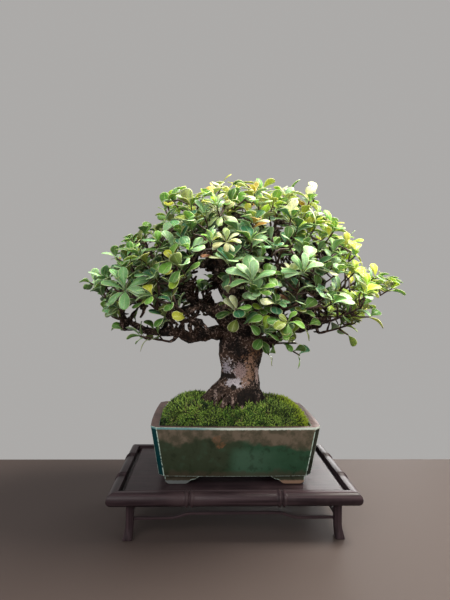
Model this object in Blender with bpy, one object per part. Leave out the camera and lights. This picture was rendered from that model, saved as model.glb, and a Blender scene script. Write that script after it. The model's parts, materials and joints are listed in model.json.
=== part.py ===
"""Barberry bonsai in a glazed pot, standing on a low bamboo-style display stand.

Metres, +Z up, the viewer's side is -Y. The origin is on the ground under the middle of the whole thing;
the crown reaches further to +X than to -X, so the stand and the pot stand a little to -X of it.
"""
import math
import random

import bmesh
import bpy
import numpy as np
from mathutils import Vector

MM = 0.001
TOUCH_GAP = 0.3 * MM
STAND_CENTRE = Vector((-11.5, 0.8, 0.0)) * MM

# Stand
STAND_WIDTH = 240.0 * MM
STAND_DEPTH = 150.0 * MM
RAIL_TOP = 47.0 * MM
RAIL_HEIGHT = 13.0 * MM
RAIL_WIDTH = 10.0 * MM
RAIL_ROUND = 6.0 * MM
NODE_RAISE = 0.9 * MM
FRONT_NODES = (-43.5 * MM, 43.5 * MM)
SIDE_NODES = (-24.0 * MM, 34.0 * MM)
PANEL_TOP = 45.0 * MM
PANEL_LEDGE = 41.0 * MM
PANEL_BOTTOM = 37.0 * MM
CHANNEL_WIDTH = 4.0 * MM
LEG_X = 99.6 * MM
LEG_Y = 60.5 * MM
LEG_HALF = 3.6 * MM
LEG_FLARE = 2.4 * MM
STRETCHER_LOW = 19.0 * MM
STRETCHER_HIGH = 23.5 * MM
STRETCHER_HEIGHT = 2.4 * MM
STRETCHER_DEPTH = 3.2 * MM

# Pot
POT_X = 0.9 * MM
RIM_HALF_X = 85.5 * MM
RIM_HALF_Y = 57.3 * MM
BASE_HALF_X = 77.0 * MM
BASE_HALF_Y = 51.5 * MM
RIM_TOP = 104.0 * MM
WALL_BOTTOM = 54.5 * MM
FLOOR_TOP = 61.0 * MM
RIM_WIDTH = 8.5 * MM
CUT_CORNER = 5.8 * MM
SIDE_BOW = 1.8 * MM
SIDE_STEPS = 4
DRAIN_RADIUS = 7.0 * MM
DRAIN_X = 34.0 * MM
SCREEN_HALF = 11.0 * MM
SCREEN_THICKNESS = 1.2 * MM
FOOT_LENGTH_X = 36.0 * MM
FOOT_LENGTH_Y = 26.0 * MM
FOOT_THICKNESS = 7.0 * MM

# Moss and soil
MOSS_EDGE_TOP = 100.5 * MM
MOSS_EDGE_BOTTOM = 95.0 * MM
MOSS_RISE = 21.0 * MM
MOSS_LEFT_RISE = 5.0 * MM
MOSS_PLUMPNESS = 7.0
MOSS_RELIEF = 0.8 * MM
SOIL_RISE = 12.0 * MM
ROOT_END = 88.0 * MM

# Trunk
TRUNK_CENTRE = Vector((8.5, -1.0, 0.0)) * MM
TRUNK_SIDES = 32
ROOT_LEVEL = 119.0 * MM
FLARE_FADE = 11.0 * MM

# Crown
HEART = Vector((8.0, 0.0, 205.0)) * MM
SPRAY_REACH = 45.0 * MM
TWIG_LENGTH = 32.0 * MM
TWIG_ROOT_RADIUS = 1.35 * MM
TWIG_TIP_RADIUS = 0.8 * MM
SHOOT_LENGTH = 21.0 * MM
SHOOT_ROOT_RADIUS = 1.0 * MM
SHOOT_TIP_RADIUS = 0.75 * MM
LEAF_LENGTH = 17.0 * MM
LEAF_WIDTH = 10.5 * MM
LEAF_RIB = 1.3 * MM
LEAF_ARCH = 1.3 * MM
CROWN_SEED = 7


# Scene and materials
def clear_scene():
    for obj in list(bpy.data.objects):
        bpy.data.objects.remove(obj, do_unlink=True)


def make_material(name, colour, roughness, metallic=0.0, coat=0.0):
    material = bpy.data.materials.new(name)
    material.use_nodes = True
    shader = material.node_tree.nodes["Principled BSDF"]
    shader.inputs["Base Color"].default_value = (*colour, 1.0)
    shader.inputs["Roughness"].default_value = roughness
    shader.inputs["Metallic"].default_value = metallic
    shader.inputs["Coat Weight"].default_value = coat
    return material


# Mesh helpers
def add_object(name, mesh, material, place=STAND_CENTRE):
    obj = bpy.data.objects.new(name, mesh)
    obj.location = place
    mesh.materials.clear()
    mesh.materials.append(material)
    bpy.context.scene.collection.objects.link(obj)
    return obj


def shade_round(mesh, angle_degrees=40.0):
    mesh.shade_smooth()
    mesh.set_sharp_from_angle(angle=math.radians(angle_degrees))


def loft(rings, closed_ends=True, split=False):
    """A skin over rings that have the same number of points, with flat ends.

    split cuts every four-sided face the same way, so that two skins a small gap apart never cross.
    """
    bm = bmesh.new()
    loops = [[bm.verts.new(point) for point in ring] for ring in rings]
    count = len(loops[0])
    for low, high in zip(loops, loops[1:]):
        for i in range(count):
            j = (i + 1) % count
            if split:
                bm.faces.new((low[i], low[j], high[j]))
                bm.faces.new((low[i], high[j], high[i]))
            else:
                bm.faces.new((low[i], low[j], high[j], high[i]))
    if closed_ends:
        bm.faces.new(list(reversed(loops[0])))
        bm.faces.new(loops[-1])
    bmesh.ops.recalc_face_normals(bm, faces=bm.faces[:])
    mesh = bpy.data.meshes.new("loft")
    bm.to_mesh(mesh)
    bm.free()
    return mesh


def prism(outline, direction):
    """A flat outline pushed along a direction."""
    shift = Vector(direction)
    return loft([[Vector(p) for p in outline], [Vector(p) + shift for p in outline]])


def box_mesh(low, high):
    outline = [(low[0], low[1], low[2]), (high[0], low[1], low[2]),
               (high[0], high[1], low[2]), (low[0], high[1], low[2])]
    return prism(outline, (0.0, 0.0, high[2] - low[2]))


def tube(points, radii, sides, start_along=None, end_along=None):
    """A tapered tube along points, its rings carried along without twist, its ends square to given directions."""
    rings = []
    side = None
    for i, point in enumerate(points):
        ahead = points[min(i + 1, len(points) - 1)]
        behind = points[max(i - 1, 0)]
        along = (ahead - behind).normalized()
        if i == 0 and start_along:
            along = start_along
        if i == len(points) - 1 and end_along:
            along = end_along
        if side is None:
            side = along.orthogonal().normalized()
        side = (side - along * side.dot(along)).normalized()
        other = along.cross(side)
        turn = [2.0 * math.pi * k / sides for k in range(sides)]
        rings.append([point + radii[i] * (math.cos(a) * side + math.sin(a) * other) for a in turn])
    return loft(rings)


def combine(target, tools, operation, solver="EXACT"):
    """Joins or cuts with every tool at once, keeps the result and removes the tools."""
    group = bpy.data.collections.new("tools")
    for tool in tools:
        for owner in list(tool.users_collection):
            owner.objects.unlink(tool)
        group.objects.link(tool)
    bpy.context.scene.collection.children.link(group)
    modifier = target.modifiers.new("combine", "BOOLEAN")
    modifier.operation = operation
    modifier.operand_type = "COLLECTION"
    modifier.collection = group
    modifier.solver = solver
    bpy.context.view_layer.update()
    evaluated = target.evaluated_get(bpy.context.evaluated_depsgraph_get())
    mesh = bpy.data.meshes.new_from_object(evaluated)
    target.modifiers.clear()
    target.data = mesh
    for tool in tools:
        bpy.data.objects.remove(tool, do_unlink=True)
    bpy.data.collections.remove(group)
    return target


def island_volume(faces):
    total = 0.0
    for face in faces:
        first = face.verts[0].co
        for a, b in zip(face.verts[1:], face.verts[2:]):
            total += first.dot(a.co.cross(b.co)) / 6.0
    return total


def main_body(mesh, merge):
    """The outer body of a fused mesh: seams welded, sealed hollows and loose scraps dropped."""
    bm = bmesh.new()
    bm.from_mesh(mesh)
    bmesh.ops.remove_doubles(bm, verts=bm.verts[:], dist=merge)
    bmesh.ops.dissolve_degenerate(bm, edges=bm.edges[:], dist=merge)
    unseen = set(bm.faces)
    islands = []
    while unseen:
        stack = [unseen.pop()]
        island = []
        while stack:
            face = stack.pop()
            island.append(face)
            for edge in face.edges:
                for other in edge.link_faces:
                    if other in unseen:
                        unseen.remove(other)
                        stack.append(other)
        islands.append(island)
    islands.sort(key=island_volume, reverse=True)
    for scrap in islands[1:]:
        bmesh.ops.delete(bm, geom=scrap, context="FACES")
    loose = [v for v in bm.verts if not v.link_faces]
    bmesh.ops.delete(bm, geom=loose, context="VERTS")
    closed = all(len(edge.link_faces) == 2 for edge in bm.edges)
    result = mesh.copy()
    bm.to_mesh(result)
    bm.free()
    return result, closed


def tidy_body(obj):
    """Keeps an object's main body, welded no more than it takes to close it; False if it stays open."""
    raw = obj.data
    for merge in (1e-7, 1e-6, 3e-6, 8e-6):
        mesh, closed = main_body(raw, merge)
        if closed:
            obj.data = mesh
            return True
    return False


def fuse(name, meshes, material):
    """One body out of overlapping meshes; a join that fails both ways is tried with one mesh fewer."""
    while True:
        for solver in ("EXACT", "MANIFOLD"):
            target = add_object(name, meshes[0].copy(), material)
            tools = [add_object("tool", mesh.copy(), material) for mesh in meshes[1:]]
            combine(target, tools, "UNION", solver)
            if tidy_body(target):
                return target
            bpy.data.objects.remove(target, do_unlink=True)
        meshes = meshes[:-1]


# Stand
def rail_profile():
    """Points of a rail's section as (out, up): flat inside, rounded like half a cane outside."""
    out_centre = RAIL_WIDTH - RAIL_ROUND
    up_centre = RAIL_TOP - RAIL_HEIGHT / 2.0
    half = RAIL_HEIGHT / 2.0
    points = [(0.0, RAIL_TOP - RAIL_HEIGHT), (0.0, RAIL_TOP - 1.0 * MM)]
    for step in range(6):
        angle = math.radians(90.0 - 36.0 * step)
        points.append((out_centre + RAIL_ROUND * math.cos(angle), up_centre + half * math.sin(angle)))
    return points


def rail_stations(nodes):
    """Places along a rail and how far its skin stands out there: two beads at each cane node."""
    stations = []
    for node in nodes:
        stations += [(node - 4.8 * MM, 0.0), (node - 2.6 * MM, NODE_RAISE), (node, 0.0)]
        stations += [(node + 2.6 * MM, NODE_RAISE), (node + 4.8 * MM, 0.0)]
    return stations


def rail_mesh(half_length, half_inner, nodes, across):
    """A rail along X at y = half_inner, or along Y at x = half_inner, with mitred ends.

    half_length is half the inner length; across is +1 or -1, the side of the stand it runs on.
    """
    profile = rail_profile()
    mitre = TOUCH_GAP / 2.0
    out_centre = RAIL_WIDTH - RAIL_ROUND
    up_centre = RAIL_TOP - RAIL_HEIGHT / 2.0
    rings = []
    rings.append([(-half_length - out + mitre, out, up) for out, up in profile])
    for along, raise_by in rail_stations(nodes):
        grow = 1.0 + raise_by / RAIL_ROUND
        ring = []
        for out, up in profile:
            if out > 0.0:
                out = out_centre + (out - out_centre) * grow
                up = up_centre + (up - up_centre) * grow
            ring.append((along, out, up))
        rings.append(ring)
    rings.append([(half_length + out - mitre, out, up) for out, up in profile])
    return [[Vector((x, across * (half_inner + out), up)) for x, out, up in ring] for ring in rings]


def build_rails(material):
    inner_x = STAND_WIDTH / 2.0 - RAIL_WIDTH
    inner_y = STAND_DEPTH / 2.0 - RAIL_WIDTH
    for name, across in (("stand_rail_front", -1.0), ("stand_rail_back", 1.0)):
        mesh = loft(rail_mesh(inner_x, inner_y, FRONT_NODES, across))
        shade_round(mesh)
        add_object(name, mesh, material)
    for name, across in (("stand_rail_left", -1.0), ("stand_rail_right", 1.0)):
        rings = rail_mesh(inner_y, inner_x, SIDE_NODES, across)
        mesh = loft([[Vector((p.y, p.x, p.z)) for p in ring] for ring in rings])
        shade_round(mesh)
        add_object(name, mesh, material)


def build_panel(material):
    """A floating board: a ledge that reaches the rails and a raised field inside a channel."""
    ledge_x = STAND_WIDTH / 2.0 - RAIL_WIDTH - TOUCH_GAP
    ledge_y = STAND_DEPTH / 2.0 - RAIL_WIDTH - TOUCH_GAP
    round_edge = 0.8 * MM
    levels = [(0.0, PANEL_BOTTOM), (0.0, PANEL_LEDGE), (CHANNEL_WIDTH, PANEL_LEDGE),
              (CHANNEL_WIDTH, PANEL_TOP - round_edge), (CHANNEL_WIDTH + round_edge, PANEL_TOP)]
    rings = []
    for inset, up in levels:
        x = ledge_x - inset
        y = ledge_y - inset
        rings.append([Vector((-x, -y, up)), Vector((x, -y, up)), Vector((x, y, up)), Vector((-x, y, up))])
    add_object("stand_panel", loft(rings), material)


def build_legs(material):
    """Slim square legs with eased edges that bend outwards to a small hoof."""
    ease = 0.28
    levels = [(0.0, -0.72 * LEG_FLARE, 1.18), (0.8 * MM, -LEG_FLARE, 1.24), (4.0 * MM, -0.75 * LEG_FLARE, 1.18),
              (9.0 * MM, -0.25 * LEG_FLARE, 1.04), (15.0 * MM, 0.0, 1.0),
              (PANEL_BOTTOM - TOUCH_GAP, 0.0, 1.0)]
    corners = [(1.0, -1.0 + ease), (1.0, 1.0 - ease), (1.0 - ease, 1.0), (-1.0 + ease, 1.0),
               (-1.0, 1.0 - ease), (-1.0, -1.0 + ease), (-1.0 + ease, -1.0), (1.0 - ease, -1.0)]
    for name, side_x, side_y in (("stand_leg_front_left", -1, -1), ("stand_leg_front_right", 1, -1),
                                 ("stand_leg_back_left", -1, 1), ("stand_leg_back_right", 1, 1)):
        rings = []
        for up, shift, scale in levels:
            half = LEG_HALF * scale
            centre_x = side_x * (LEG_X - shift)
            centre_y = side_y * (LEG_Y - shift)
            rings.append([Vector((centre_x + half * a, centre_y + half * b, up)) for a, b in corners])
        mesh = loft(rings)
        shade_round(mesh, 30.0)
        add_object(name, mesh, material)


def stretcher_level(t):
    """Height of the hump-backed stretcher's middle line, t from 0 at a leg to 1 at mid span."""
    start, end = 0.36, 0.56
    s = min(1.0, max(0.0, (t - start) / (end - start)))
    return STRETCHER_LOW + (STRETCHER_HIGH - STRETCHER_LOW) * s * s * (3.0 - 2.0 * s)


def build_stretchers(material):
    marks = (0.0, 0.36, 0.42, 0.46, 0.50, 0.56)
    half_depth = STRETCHER_DEPTH / 2.0
    half_height = STRETCHER_HEIGHT / 2.0
    for name, side, along_x in (("stand_stretcher_front", -1, True), ("stand_stretcher_back", 1, True),
                                ("stand_stretcher_left", -1, False), ("stand_stretcher_right", 1, False)):
        span = (LEG_X if along_x else LEG_Y) - LEG_HALF - TOUCH_GAP
        off = side * (LEG_Y if along_x else LEG_X)
        stations = [(-span * (1.0 - t), stretcher_level(t)) for t in marks]
        stations += [(span * (1.0 - t), stretcher_level(t)) for t in reversed(marks)]
        rings = []
        for along, up in stations:
            ring = [(off - half_depth, up - half_height), (off + half_depth, up - half_height),
                    (off + half_depth, up + half_height), (off - half_depth, up + half_height)]
            if along_x:
                rings.append([Vector((along, a, b)) for a, b in ring])
            else:
                rings.append([Vector((a, along, b)) for a, b in ring])
        add_object(name, loft(rings), material)


# Pot
def pot_outline(half_x, half_y, cut, bow=SIDE_BOW):
    """The pot seen from above: four slightly bowed sides joined by cut corners."""
    points = []
    sides = [((1, -1), (1, 1)), ((1, 1), (-1, 1)), ((-1, 1), (-1, -1)), ((-1, -1), (1, -1))]
    for start, end in sides:
        along_y = start[0] == end[0]
        for step in range(SIDE_STEPS + 1):
            t = -1.0 + 2.0 * step / SIDE_STEPS
            swell = bow * (1.0 - t * t)
            if along_y:
                x = start[0] * (half_x - bow + swell)
                y = start[1] * (half_y - cut - bow) * (1.0 - (t + 1.0))
            else:
                x = start[0] * (half_x - cut - bow) * (1.0 - (t + 1.0))
                y = start[1] * (half_y - bow + swell)
            points.append((x + POT_X, y))
    return points


def pot_half(up):
    """Half the outer width and depth of the leaning wall at a height."""
    t = (up - WALL_BOTTOM) / (RIM_TOP - WALL_BOTTOM)
    return BASE_HALF_X + (RIM_HALF_X - BASE_HALF_X) * t, BASE_HALF_Y + (RIM_HALF_Y - BASE_HALF_Y) * t


def inner_half(up):
    """Half the inner width and depth, the wall being thickest at the rim."""
    t = (up - FLOOR_TOP) / (RIM_TOP - FLOOR_TOP)
    wall = 6.5 * MM + (RIM_WIDTH + 1.0 * MM - 6.5 * MM) * t
    x, y = pot_half(up)
    return x - wall, y - wall


def pot_ring(half, up, cut=CUT_CORNER, inset=0.0):
    return [Vector((x, y, up)) for x, y in pot_outline(half[0] - inset, half[1] - inset, cut)]


def cloud_outline(length, top):
    """A foot's face as (inwards, up): round outer end, flat sole, two cusps up to the wall."""
    sole = PANEL_TOP + TOUCH_GAP
    shape = [(0.0, top), (0.0, 5.0 * MM + sole), (0.03, 2.2 * MM + sole), (0.11, sole), (0.60, sole),
             (0.76, 3.9 * MM + sole), (0.90, 4.7 * MM + sole), (1.0, 7.8 * MM + sole), (1.0, top)]
    return [(inwards * length, up) for inwards, up in shape]


def pot_feet(material):
    """Two boards to a corner, one under the long wall and one under the short wall."""
    feet = []
    corner_x = BASE_HALF_X - 7.5 * MM
    corner_y = BASE_HALF_Y - 5.0 * MM
    step = 0.2 * MM
    top = WALL_BOTTOM + 1.5 * MM
    for side_x in (-1, 1):
        for side_y in (-1, 1):
            front = [Vector((POT_X + side_x * (corner_x - u), side_y * corner_y, up))
                     for u, up in cloud_outline(FOOT_LENGTH_X, top)]
            flank = [Vector((POT_X + side_x * (corner_x - step), side_y * (corner_y - step - u), up))
                     for u, up in cloud_outline(FOOT_LENGTH_Y, top + step)]
            for outline, push in ((front, (0.0, -side_y * FOOT_THICKNESS, 0.0)),
                                  (flank, (-side_x * FOOT_THICKNESS, 0.0, 0.0))):
                feet.append(add_object("foot", prism(outline, push), material))
    return feet


def drain_cutters(material):
    cutters = []
    for side in (-1, 1):
        turn = [2.0 * math.pi * k / 12 for k in range(12)]
        ring = [Vector((POT_X + side * DRAIN_X + DRAIN_RADIUS * math.cos(a), DRAIN_RADIUS * math.sin(a),
                        WALL_BOTTOM - 3.0 * MM)) for a in turn]
        mesh = prism(ring, (0.0, 0.0, FLOOR_TOP - WALL_BOTTOM + 6.0 * MM))
        cutters.append(add_object("drain", mesh, material))
    return cutters


def build_pot(material):
    lip = 1.4 * MM
    outer_top = pot_half(RIM_TOP)
    rings = [pot_ring(pot_half(WALL_BOTTOM), WALL_BOTTOM, inset=1.2 * MM),
             pot_ring(pot_half(WALL_BOTTOM), WALL_BOTTOM + 1.2 * MM),
             pot_ring(pot_half(RIM_TOP - 4.0 * MM), RIM_TOP - 4.0 * MM),
             pot_ring(outer_top, RIM_TOP - lip),
             pot_ring(outer_top, RIM_TOP, inset=lip),
             pot_ring(outer_top, RIM_TOP - 0.8 * MM, inset=RIM_WIDTH - 0.8 * MM),
             pot_ring(inner_half(RIM_TOP), RIM_TOP - 1.8 * MM),
             pot_ring(inner_half(FLOOR_TOP), FLOOR_TOP)]
    pot = add_object("pot", loft(rings), material)
    combine(pot, pot_feet(material), "UNION")
    combine(pot, drain_cutters(material), "DIFFERENCE")
    tidy_body(pot)
    shade_round(pot.data, 28.0)


def build_screens(material):
    for name, side in (("drain_screen_left", -1), ("drain_screen_right", 1)):
        x = POT_X + side * DRAIN_X
        low = (x - SCREEN_HALF, -SCREEN_HALF, FLOOR_TOP + TOUCH_GAP)
        high = (x + SCREEN_HALF, SCREEN_HALF, FLOOR_TOP + TOUCH_GAP + SCREEN_THICKNESS)
        add_object(name, box_mesh(low, high), material)


# Trunk base, which the moss and the soil leave room for
ROOT_LOBES = [(182.0, 19.0, 13.0), (207.0, 15.0, 9.0), (236.0, 13.0, 9.0), (262.0, 8.0, 8.0), (292.0, 4.0, 14.0),
              (332.0, 3.0, 14.0), (8.0, 4.0, 14.0), (58.0, 7.0, 12.0), (104.0, 9.0, 13.0), (146.0, 13.0, 12.0)]


def root_reach(angle):
    """How far the surface roots stand out from the trunk, as lobes round it."""
    total = 0.0
    for lobe_degrees, reach, spread in ROOT_LOBES:
        off = (math.degrees(angle) - lobe_degrees + 180.0) % 360.0 - 180.0
        total = max(total, reach * MM * math.exp(-(off / spread) ** 2))
    return total


# Trunk sections: height, centre x, half width, half depth
TRUNK_SECTIONS = [(119.0, 8.5, 21.5, 19.5), (124.0, 8.5, 21.0, 19.0), (130.0, 8.5, 20.5, 18.5),
                  (138.0, 8.5, 20.2, 17.5), (148.0, 8.2, 19.6, 17.0), (157.0, 7.2, 20.2, 17.0),
                  (168.0, 7.6, 23.6, 18.5), (181.0, 9.0, 24.0, 19.0), (193.0, 9.0, 20.0, 16.5),
                  (207.0, 9.0, 14.0, 12.0), (220.0, 9.0, 8.0, 7.5)]


def trunk_ring(up, centre_x, half_x, half_y, clearance=0.0):
    """One section of the trunk, whose root lobes fade with height."""
    fade = math.exp(-max(0.0, up - ROOT_LEVEL) / FLARE_FADE)
    ring = []
    for k in range(TRUNK_SIDES):
        angle = 2.0 * math.pi * k / TRUNK_SIDES
        round_radius = half_x * half_y / math.hypot(half_y * math.cos(angle), half_x * math.sin(angle))
        ripple = 0.5 * MM * math.sin(5.0 * angle + 90.0 * up) + 0.35 * MM * math.sin(9.0 * angle - 140.0 * up)
        radius = round_radius + ripple + fade * root_reach(angle) + clearance
        ring.append(Vector((centre_x + radius * math.cos(angle), TRUNK_CENTRE.y + radius * math.sin(angle), up)))
    return ring


def root_hole(up, clearance):
    """The outline of the plain hole that the trunk base stands in."""
    section = [value * MM for value in TRUNK_SECTIONS[0]]
    return [Vector((p.x, p.y, up)) for p in trunk_ring(ROOT_LEVEL, section[1], section[2], section[3], clearance)]


def outline_hit(origin, angle, outline):
    """The point where a ray at an angle leaves a closed outline."""
    direction = Vector((math.cos(angle), math.sin(angle)))
    best = None
    for a, b in zip(outline, outline[1:] + outline[:1]):
        start = Vector(a) - origin
        edge = Vector(b) - Vector(a)
        cross = direction.x * edge.y - direction.y * edge.x
        if abs(cross) < 1e-12:
            continue
        distance = (start.x * edge.y - start.y * edge.x) / cross
        t = (start.x * direction.y - start.y * direction.x) / cross
        if distance > 0.0 and -1e-6 <= t <= 1.0 + 1e-6 and (best is None or distance < best):
            best = distance
    return origin + direction * best


def mound(angle, share, edge, rise, left_rise, relief):
    """Height of the mound, share going from 0 at the trunk's middle to 1 at the pot's wall."""
    lift = rise + left_rise * max(0.0, -math.cos(angle))
    bumps = math.sin(4.0 * angle + 9.0 * share) + 0.7 * math.sin(9.0 * angle - 14.0 * share)
    return edge + lift * (1.0 - share ** MOSS_PLUMPNESS) + relief * bumps * (1.0 - share)


def mound_rings(outer, hole, shares, edge, rise, left_rise, relief):
    """Rings of points on a mound, from the hole round the trunk out to the outer outline."""
    rings = []
    for share in shares:
        ring = []
        for k in range(TRUNK_SIDES):
            angle = 2.0 * math.pi * k / TRUNK_SIDES
            inner_point = Vector((hole[k].x, hole[k].y))
            point = inner_point.lerp(outer[k], share)
            full = (outer[k] - TRUNK_CENTRE.xy).length
            whole = (point - TRUNK_CENTRE.xy).length / full
            ring.append(Vector((point.x, point.y, mound(angle, whole, edge, rise, left_rise, relief))))
        rings.append(ring)
    return rings


def fill_outline(up, gap):
    """The pot's inner outline at a height, less a gap, met by rays from the trunk's middle."""
    half = inner_half(up)
    outline = pot_outline(half[0] - gap, half[1] - gap, CUT_CORNER)
    return [outline_hit(TRUNK_CENTRE.xy, 2.0 * math.pi * k / TRUNK_SIDES, outline) for k in range(TRUNK_SIDES)]


def build_moss(material):
    gap = TOUCH_GAP + 0.2 * MM
    outer = fill_outline(MOSS_EDGE_BOTTOM, gap)
    hole = root_hole(0.0, TOUCH_GAP + 0.1 * MM)
    top = mound_rings(outer, hole, (1.0, 0.96, 0.85, 0.66, 0.34, 0.0), MOSS_EDGE_TOP, MOSS_RISE,
                      MOSS_LEFT_RISE, MOSS_RELIEF)
    bottom = mound_rings(outer, hole, (0.0, 0.5, 1.0), MOSS_EDGE_BOTTOM, SOIL_RISE, 0.0, 0.0)
    rings = bottom + top
    mesh = loft(rings + [rings[0]], closed_ends=False, split=True)
    obj = add_object("moss", mesh, material)
    tidy_body(obj)
    shade_round(obj.data, 60.0)


def build_soil(material):
    gap = TOUCH_GAP + 0.2 * MM
    floor = FLOOR_TOP + 2.0 * TOUCH_GAP + SCREEN_THICKNESS
    hole = root_hole(0.0, TOUCH_GAP + 0.1 * MM)
    low = fill_outline(floor, gap)
    high = fill_outline(MOSS_EDGE_BOTTOM, gap)
    hole_bottom = ROOT_END - TOUCH_GAP
    top = mound_rings(high, hole, (0.0, 0.5, 1.0), MOSS_EDGE_BOTTOM - TOUCH_GAP, SOIL_RISE, 0.0, 0.0)
    rings = [[Vector((p.x, p.y, hole_bottom)) for p in hole]] + top
    rings.append([Vector((p.x, p.y, floor)) for p in low])
    obj = add_object("soil", loft(rings, split=True), material)
    shade_round(obj.data, 40.0)


# Limbs: centre line points in mm, then the radius at the start and at the end
LIMBS = {
    "lower_left": ([(6, -4, 190), (-12, -5, 193), (-31, -8, 190), (-48, -12, 187), (-60, -14, 193), (-79, -10, 192),
                    (-95, -4, 193), (-110, 2, 200), (-125, 4, 208)], 8.0, 2.4),
    "second_left": ([(8, 4, 200), (-8, 6, 209), (-24, 10, 215), (-37, 18, 223), (-51, 26, 233), (-65, 32, 243),
                     (-81, 36, 259)], 7.5, 2.4),
    "leader_left": ([(6, -4, 204), (-6, -8, 227), (-15, -10, 244), (-18, -14, 263), (-13, -16, 291)], 7.0, 2.2),
    "leader_right": ([(12, 4, 203), (25, 8, 232), (32, 10, 259), (45, 12, 286)], 7.0, 2.2),
    "right_low": ([(16, 0, 176), (38, -4, 183), (54, -8, 196), (71, -10, 199), (92, -8, 203), (103, -4, 216),
                   (115, 0, 232), (136, 4, 240)], 8.0, 1.9),
    "right_mid": ([(14, 6, 196), (30, 12, 208), (47, 16, 221), (73, 26, 238), (96, 34, 257), (109, 38, 276)],
                  6.5, 2.0),
    "front_left": ([(4, -8, 196), (-9, -21, 203), (-21, -35, 217), (-41, -43, 221), (-52, -53, 235), (-71, -60, 243)],
                   6.0, 2.0),
    "front_right": ([(14, -8, 198), (29, -21, 202), (38, -35, 216), (55, -43, 222), (66, -52, 237), (87, -58, 247)],
                    6.0, 2.0),
    "front_up": ([(9, -6, 206), (15, -19, 223), (5, -30, 240), (13, -38, 257), (7, -49, 272)], 5.5, 2.0),
    "back_left": ([(4, 6, 196), (-13, 21, 204), (-21, 37, 219), (-43, 45, 228), (-52, 59, 242), (-73, 64, 252)],
                  6.5, 2.0),
    "back_right": ([(14, 6, 196), (28, 22, 206), (43, 33, 215), (55, 47, 230), (75, 53, 238), (92, 61, 252)],
                   6.5, 2.0),
    "back_up": ([(9, 6, 208), (1, 22, 223), (11, 36, 240), (2, 47, 255), (7, 57, 271)], 5.5, 2.0),
}
LIMB_SIDES = 5
BRANCH_SIDES = 4
SHOOT_SIDES = 3
BRANCH_STEPS = 3
BRANCH_ROOT_RADIUS = 2.5 * MM
BRANCH_END_RADIUS = 1.5 * MM

# Leaf tips that draw the crown's outline seen from the front: x, y, z in mm
OUTLINE_TIPS = [(-167, 0, 250), (-136, -10, 279), (-110, 8, 301), (-82, -6, 336), (-50, 6, 345), (-26, -14, 356),
                (20, 6, 357), (52, -10, 351), (88, 4, 352), (107, -8, 319), (134, 10, 298), (152, -4, 262),
                (182, 0, 255), (158, 12, 232), (136, -12, 206), (-138, 10, 208), (-112, -16, 190), (76, -30, 184),
                (34, -72, 193)]
# Rings of tips that fill the front, the back and the top: height, half width, half depth, angles
FILL_RINGS = [(232.0, 152.0, 108.0, (-142, -118, -92, -66, -40, 40, 66, 92, 118, 142)),
              (296.0, 118.0, 84.0, (-150, -108, -72, -32, 34, 72, 108, 146)),
              (342.0, 52.0, 42.0, (-110, -40, 70))]
FILL_CENTRE_X = 9.0


def taper(count, start, end):
    return [start + (end - start) * (i / (count - 1)) ** 0.8 for i in range(count)]


def limb_routes():
    """Each limb as its centre line and radii, in metres."""
    routes = []
    for points, start, end in LIMBS.values():
        line = [Vector(p) * MM for p in points]
        routes.append((line, taper(len(line), start * MM, end * MM)))
    return routes


def spray_tips(rng):
    """Where every spray's outermost leaves reach to."""
    tips = [Vector(p) * MM for p in OUTLINE_TIPS]
    for up, half_x, half_y, angles in FILL_RINGS:
        for angle in angles:
            turn = math.radians(angle + rng.uniform(-4.0, 4.0))
            swell = rng.uniform(0.95, 1.04)
            tips.append(Vector((FILL_CENTRE_X + half_x * swell * math.cos(turn), half_y * swell * math.sin(turn),
                                up + rng.uniform(-7.0, 7.0))) * MM)
    return tips


def spray_direction(tip):
    """Outwards from the heart of the tree, turned up towards the light."""
    outwards = (tip - HEART).normalized()
    return (outwards + Vector((0.0, 0.0, 0.30))).normalized()


def fork(limbs, end):
    """Where a branch to a point best leaves the limbs: limb number, segment, share, point, direction, radius."""
    reach = (end - HEART).length
    best = None
    for number, (line, radii) in enumerate(limbs):
        for i in range(len(line) - 1):
            along = (line[i + 1] - line[i]).normalized()
            for step in range(1, 5):
                share = step / 4.0
                point = line[i].lerp(line[i + 1], share)
                away = end - point
                past = max(0.0, (point - HEART).length - 0.92 * reach)
                backwards = max(0.0, 0.35 - along.dot(away.normalized()))
                cost = away.length * (1.0 + backwards) + 3.0 * past + 0.12 * (point - HEART).length
                if best is None or cost < best[0]:
                    best = (cost, (number, i, share, point, along, radii[i + 1]))
    return best[1]


def branch_to(limbs, end, direction):
    """A side branch that leaves a limb along the limb's own way and turns into a spray's direction."""
    number, segment, share, start, along, radius = fork(limbs, end)
    pull = 0.36 * (end - start).length
    leave = (along + 0.6 * (end - start).normalized()).normalized()
    first = start + leave * pull
    second = end - direction * pull
    route = []
    for i in range(BRANCH_STEPS + 1):
        t = i / BRANCH_STEPS
        s = 1.0 - t
        route.append(start * s ** 3 + first * 3.0 * t * s * s + second * 3.0 * t * t * s + end * t ** 3)
    root = min(BRANCH_ROOT_RADIUS, max(1.1 * BRANCH_END_RADIUS, radius))
    return route, taper(len(route), root, BRANCH_END_RADIUS), (number, segment + share)


def end_at_last_fork(limbs, forks):
    """Limbs cut off just past the last branch that leaves them, so that none ends in a bare stump."""
    trimmed = []
    for number, (line, radii) in enumerate(limbs):
        last = max([place for owner, place in forks if owner == number], default=len(line) - 1.0)
        whole = min(int(last), len(line) - 2)
        share = last - whole
        points = line[:whole + 1] + [line[whole].lerp(line[whole + 1], share)]
        widths = radii[:whole + 1] + [radii[whole] + (radii[whole + 1] - radii[whole]) * share]
        if share < 0.1 and whole > 0:
            points.pop()
            widths.pop()
        trimmed.append((points, widths))
    return trimmed


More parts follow.
